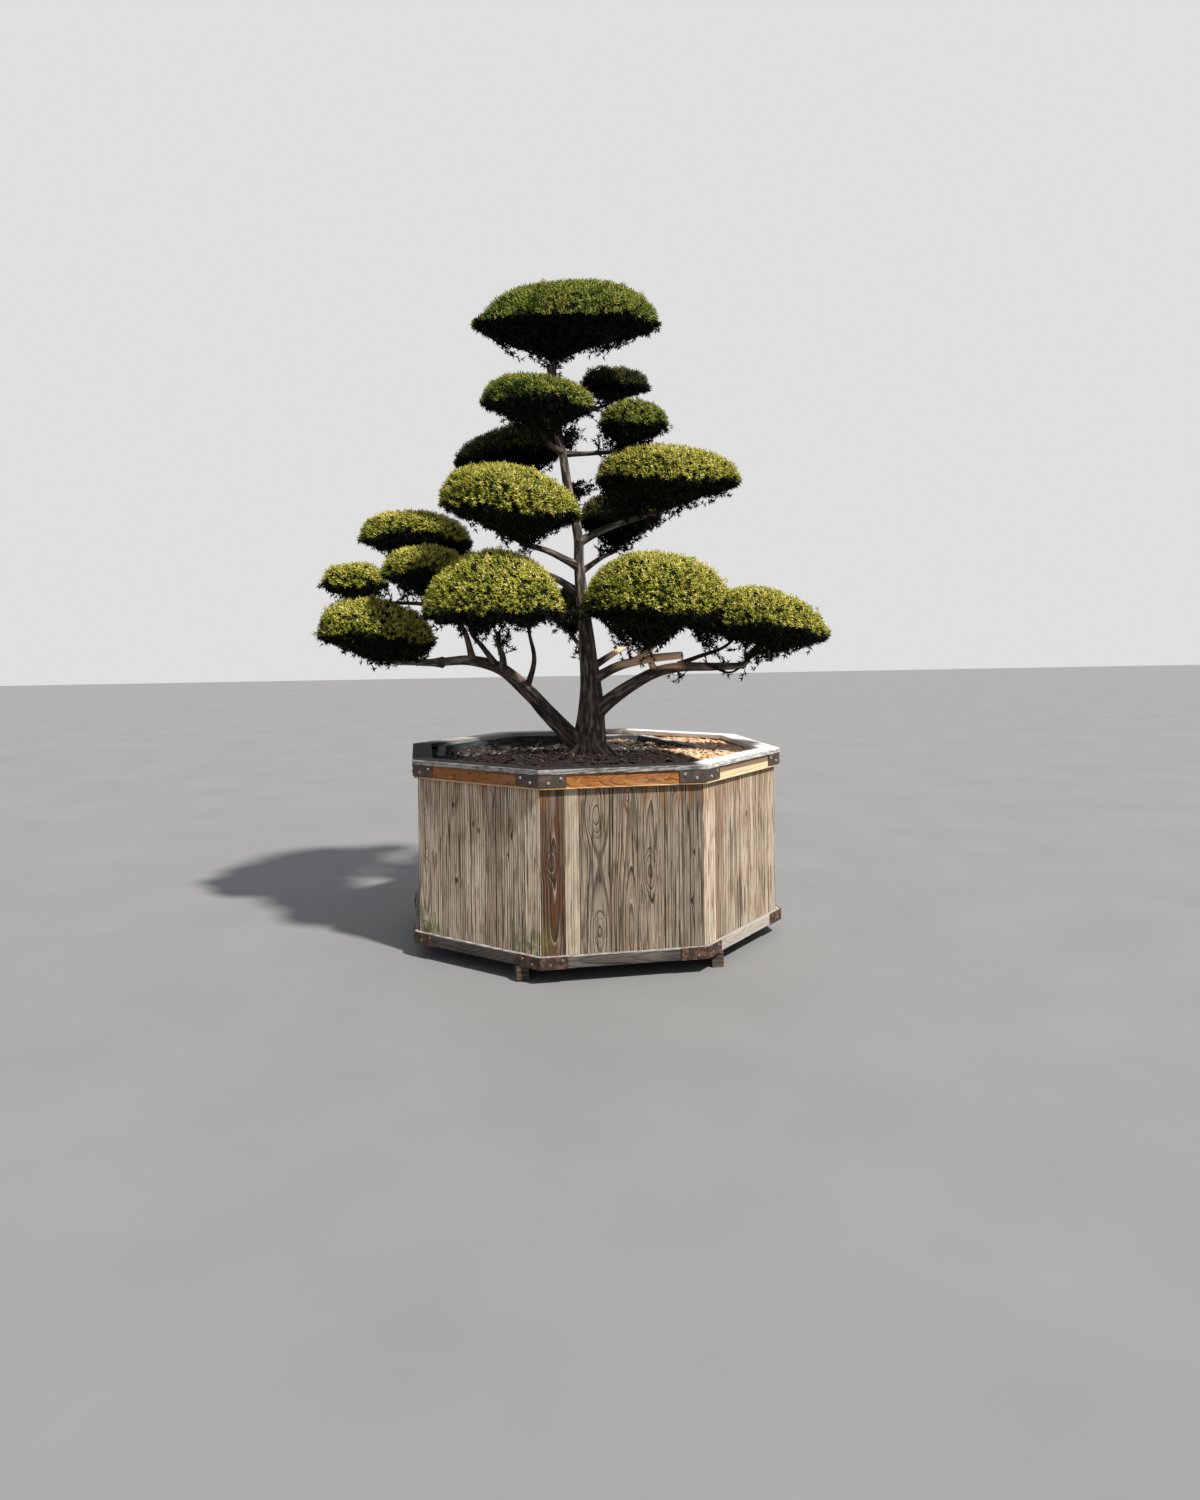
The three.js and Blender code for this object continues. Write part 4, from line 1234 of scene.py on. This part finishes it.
def soil(ground, chips, stones, rng):
    """The ground in the box, with bark chips over it and small pale stones where it lies low."""
    reach = BOARD_OUTER - BOARD_THICKNESS - SOIL_GAP
    angle = 2 * math.pi * np.arange(SOIL_SEGMENTS) / SOIL_SEGMENTS
    share = np.linspace(0.02, 1, SOIL_RINGS)
    radius = share[:, None] * octagon_reach(angle, reach)[None, :]
    places = np.stack([radius * np.cos(angle), radius * np.sin(angle)], axis=-1).reshape(-1, 2)
    level = soil_heights(places)
    rough = [
        0.006 * noise.noise(Vector((x, y, 0)) * 22) + 0.004 * noise.noise(Vector((x, y, 5)) * 70)
        for x, y in places
    ]
    top = np.column_stack([places, level + rough])
    skirt = top[-SOIL_SEGMENTS:].copy()
    skirt[:, 2] = SOIL_FOOT
    middle = np.array([[0, 0, level[0]], [0, 0, SOIL_FOOT]])
    points = np.concatenate([top, skirt, middle])
    ring = np.arange(SOIL_SEGMENTS)
    after = (ring + 1) % SOIL_SEGMENTS
    faces = []
    for i in range(SOIL_RINGS):
        a, b = i * SOIL_SEGMENTS, (i + 1) * SOIL_SEGMENTS
        faces.append(np.stack([a + ring, b + ring, b + after], axis=1))
        faces.append(np.stack([a + ring, b + after, a + after], axis=1))
    foot = SOIL_RINGS * SOIL_SEGMENTS
    hub = foot + SOIL_SEGMENTS
    faces.append(np.stack([ring, after, np.full(SOIL_SEGMENTS, hub)], axis=1))
    faces.append(np.stack([foot + after, foot + ring, np.full(SOIL_SEGMENTS, hub + 1)], axis=1))
    mesh = mesh_of("soil_ground", points, np.concatenate(faces), {})
    mesh.shade_smooth()
    piece("soil_ground", mesh, [ground], "soil", "soil")
    chosen = top[rng.choice(len(top), CHIPS + STONES)]
    loose("bark_chips", chips, CHIP, chosen[:CHIPS], reach, math.inf, rng)
    loose("stones", stones, STONE, chosen[CHIPS:], reach, STONES_BELOW, rng)


def loose(name, look, largest, spots, reach, highest, rng):
    """Rough blocks, turned and tipped, that lie beside these spots of the soil, up to the highest level."""
    points, tones, faces = [], [], []
    for spot in spots:
        x, y, z = spot + (*rng.normal(0, 0.012, 2), 0)
        if z > highest:
            continue
        half = largest * rng.uniform(0.4, 1) ** 1.5
        if octagon_apothem(x, y) > reach - half[0] * 1.3:
            continue
        box = np.array([(a, b, c) for a in (-1, 1) for b in (-1, 1) for c in (-1, 1)]) * half
        box = box * rng.uniform(0.6, 1.0, box.shape)
        turn = rng.uniform(0, 2 * math.pi)
        box[:, 2] += box[:, 0] * rng.normal(0, 0.3)
        c, s = math.cos(turn), math.sin(turn)
        start = len(points)
        points += [(x + a * c - b * s, y + a * s + b * c, z + h + 0.002) for a, b, h in box]
        tones += [rng.random()] * 8
        faces += [[start + j for j in quad] for quad in BOX_FACES]
    piece(name, mesh_of(name, points, faces, {"shade": tones}), [look], "soil")


def octagon_apothem(x, y):
    """The apothem of the octagon round the box's middle that passes through a point."""
    angles = 2 * HALF_TURN * np.arange(SIDES)
    return float(np.max(x * np.sin(angles) - y * np.cos(angles)))


def mulch(look, low, painted_shadow, dry_and_sunlit):
    """Colours of the ground: grey where it lies low, and on the heap brown with painted shadow, lightened by
    painted sunlight beyond an uneven line on the right.
    """
    place = look.place()
    x, y, z = look.parts(place)
    # Painted sunlight on the right beyond an uneven line, painted shadow before it.
    painted_sunlight_share = look.band(x + y * 0.3 + look.noise(place, 30.0) * 0.06, 0.235, 0.29)
    return look.mix(look.band(z, *HEAP), low, look.mix(painted_sunlight_share, painted_shadow, dry_and_sunlit))


def soil_look():
    look = Look("soil", Roughness=0.95, Specular_IOR_Level=0.1)
    clod = look.noise(look.place(), 55.0, 5.0)
    low = look.ramp(clod, (0.3, "15120f"), (0.6, "37302a"), (0.75, "6b665f"))
    # The heap's colours in painted shadow and in painted sunlight.
    painted_shadow = look.ramp(clod, (0.3, "0e0a09"), (0.55, "221b17"), (0.75, "3c3129"))
    dry_and_sunlit = look.ramp(clod, (0.3, "7e5f48"), (0.55, "bc9674"), (0.75, "e0c29f"))
    return look.finish(mulch(look, low, painted_shadow, dry_and_sunlit), clod, 0.008)


def chip_look():
    look = Look("bark_chips", Roughness=0.9, Specular_IOR_Level=0.15)
    shade = look.attribute("shade")
    low = look.ramp(shade, (0.0, "17130f"), (0.6, "3c342d"), (1.0, "8a857d"))
    # The chips' colours in painted shadow and in painted sunlight.
    painted_shadow = look.ramp(shade, (0.0, "110c0a"), (0.6, "271e19"), (0.9, "372b24"), (1.0, "52453b"))
    dry_and_sunlit = look.ramp(shade, (0.0, "82634b"), (0.5, "c49c78"), (0.85, "e6c6a2"), (1.0, "f6e3c8"))
    return look.finish(mulch(look, low, painted_shadow, dry_and_sunlit), look.noise(look.place(), 300.0, 2.0), 0.001)


def stone_look():
    look = Look("stones", Roughness=0.8)
    grain = look.noise(look.place(), 300.0, 3.0)
    color = look.ramp(look.attribute("shade"), (0.0, "5a5854"), (0.5, "98958f"), (1.0, "cfccc6"))
    return look.finish(look.mix(grain * 0.4, color, "4a4744"), grain, 0.001)


# Stage

CAMERA_PLACE = (-0.806, -4.909, 1.40)
CAMERA_TURN = (90, 0.59, -10.74)
CAMERA_LENS = 24.55
CAMERA_SHIFT = (-0.0092, -0.0768)
TOWARD_SUN = (0.37, -0.47, 0.8)
FLOOR_HALF = 30


def stage():
    """A pale floor, soft light from the upper right in front, and the photograph's point of view."""
    scene = bpy.context.scene
    camera = placed("camera", bpy.data.cameras.new("camera"))
    camera.location = CAMERA_PLACE
    camera.rotation_euler = [math.radians(angle) for angle in CAMERA_TURN]
    camera.data.lens = CAMERA_LENS
    camera.data.shift_x, camera.data.shift_y = CAMERA_SHIFT
    scene.camera = camera
    scene.view_settings.view_transform = "Standard"

    sun = placed("sun", bpy.data.lights.new("sun", "SUN"))
    sun.rotation_euler = Vector(TOWARD_SUN).to_track_quat("Z", "Y").to_euler()
    sun.data.energy = 8
    sun.data.angle = math.radians(4)
    sun.data.color = (1.0, 0.97, 0.92)

    world = bpy.data.worlds.new("world")
    scene.world = world
    world.use_nodes = True
    links = world.node_tree.links
    fill = world.node_tree.nodes["Background"]
    fill.inputs["Color"].default_value = (0.60, 0.62, 0.66, 1)
    backdrop = world.node_tree.nodes.new("ShaderNodeBackground")
    backdrop.inputs["Color"].default_value = (0.74, 0.74, 0.74, 1)
    seen = world.node_tree.nodes.new("ShaderNodeLightPath")
    either = world.node_tree.nodes.new("ShaderNodeMixShader")
    links.new(seen.outputs["Is Camera Ray"], either.inputs[0])
    links.new(fill.outputs[0], either.inputs[1])
    links.new(backdrop.outputs[0], either.inputs[2])
    links.new(either.outputs[0], world.node_tree.nodes["World Output"].inputs[0])

    mesh = bpy.data.meshes.new("floor")
    corners = [(x * FLOOR_HALF, y * FLOOR_HALF, 0) for x, y in ((-1, -1), (1, -1), (1, 1), (-1, 1))]
    mesh.from_pydata(corners, [], [(0, 1, 2, 3)])
    floor = placed("floor", mesh)
    look = Look("floor", Roughness=0.7)
    grain = look.noise(look.place(), 1.5, 3.0)
    mesh.materials.append(look.finish(look.ramp(grain, (0.3, "696969"), (0.7, "6e6e6e"))))


# The whole object

# The colours of each foliage slot, from painted deep shade at the needles' roots to painted light at their
# tips; the sunlit and dark slots are lit and shaded copies of one yew green: painted light and painted shade.
HEAD_LOOKS = {
    "foliage_sunlit": [(0.0, "0a0d06"), (0.25, "2e380f"), (0.55, "798026"), (0.8, "aca443"), (1.0, "cdc178")],
    "foliage_green": [(0.0, "070a05"), (0.3, "1e2b0b"), (0.55, "435716"), (0.8, "707a2a"), (1.0, "97974a")],
    "foliage_dark": [(0.0, "040503"), (0.3, "0c1107"), (0.55, "1d280f"), (0.8, "38461b"), (1.0, "5c6633")],
}

stage()
LOOKS = {"core": core_look()}
for slot_name, stops in HEAD_LOOKS.items():
    LOOKS[slot_name] = needle_look(slot_name, *stops)
slots = {row["node"]: row["material_slot"] for row in frame["record"]["subparts"]}
forms = {node: form_of(node) for node in sorted(n for n in NODES if n.startswith("head_"))}
stems = wood()
spurs = twigs(stems, forms, np.random.default_rng(5))
for number, (node, form) in enumerate(forms.items()):
    head(node, form, spurs[node], LOOKS[slots[node]], slots[node], np.random.default_rng(100 + number))
piece("trunk_with_twigs", stems.mesh("trunk_with_twigs"), [bark_look()], "bark", "trunk_and_branches")

board_look = timber_look("side_boards", "e4d1b6", "33200f", "87603b", 0.0115, 1.0, dress_boards)
upper_rail_look = timber_look("upper_rail", "bc8038", "7c4a20", "8f5e27", 0.008, 0.6, dress_upper_rail, 0.6)
lower_rail_look = timber_look("lower_rail", "474543", "2c2a28", "473f36", 0.008, 0.7, dress_lower_rail)
cap_look = timber_look("cap", "b4b2b0", "6b6866", "a09383", 0.008, 0.7, dress_cap)
board_rng = np.random.default_rng(11)
for k in range(SIDES):
    side_boards(k, board_look, board_rng)
    cap(k, cap_look, board_rng)
rails("upper_rail", UPPER_RAIL, upper_rail_look, 1.0, board_rng)
rails("lower_rail", LOWER_RAIL, lower_rail_look, 0.15, board_rng)
upper_looks = [
    steel_look("upper_steel", "3f3733", "5c4537", 0.12),
    steel_look("bolts", "8d8781", "5b4a3f", 0.1),
]
lower_looks = [
    steel_look("lower_steel", "342922", "5f4333", 0.16),
    steel_look("rusty_bolts", "6e5c50", "5f4333", 0.2),
]
for k in range(SIDES):
    corner_plate(f"upper_corner_plate_{k + 1}", k, UPPER_RAIL[1] - PLATE_HEIGHT, upper_looks, "upper_steel")
    corner_plate(f"lower_corner_plate_{k + 1}", k, LOWER_RAIL[0], lower_looks, "lower_steel")
hidden_look = raw_timber_look("hidden_timber", "54483e", "2b241e")
# The inner frame is dark: painted shade on its faces, with painted sunlight on its top edge on the right.
inner_look = raw_timber_look("inner_frame", "4a4c4d", "1f2224", "a3a19c")
hidden = dict.fromkeys(("box_floor", "bearer_left", "bearer_middle", "bearer_right"), hidden_look)
for node, timber in {**hidden, "inner_frame": inner_look}.items():
    NODES[node].data.materials.clear()
    NODES[node].data.materials.append(timber)
soil(soil_look(), chip_look(), stone_look(), np.random.default_rng(21))
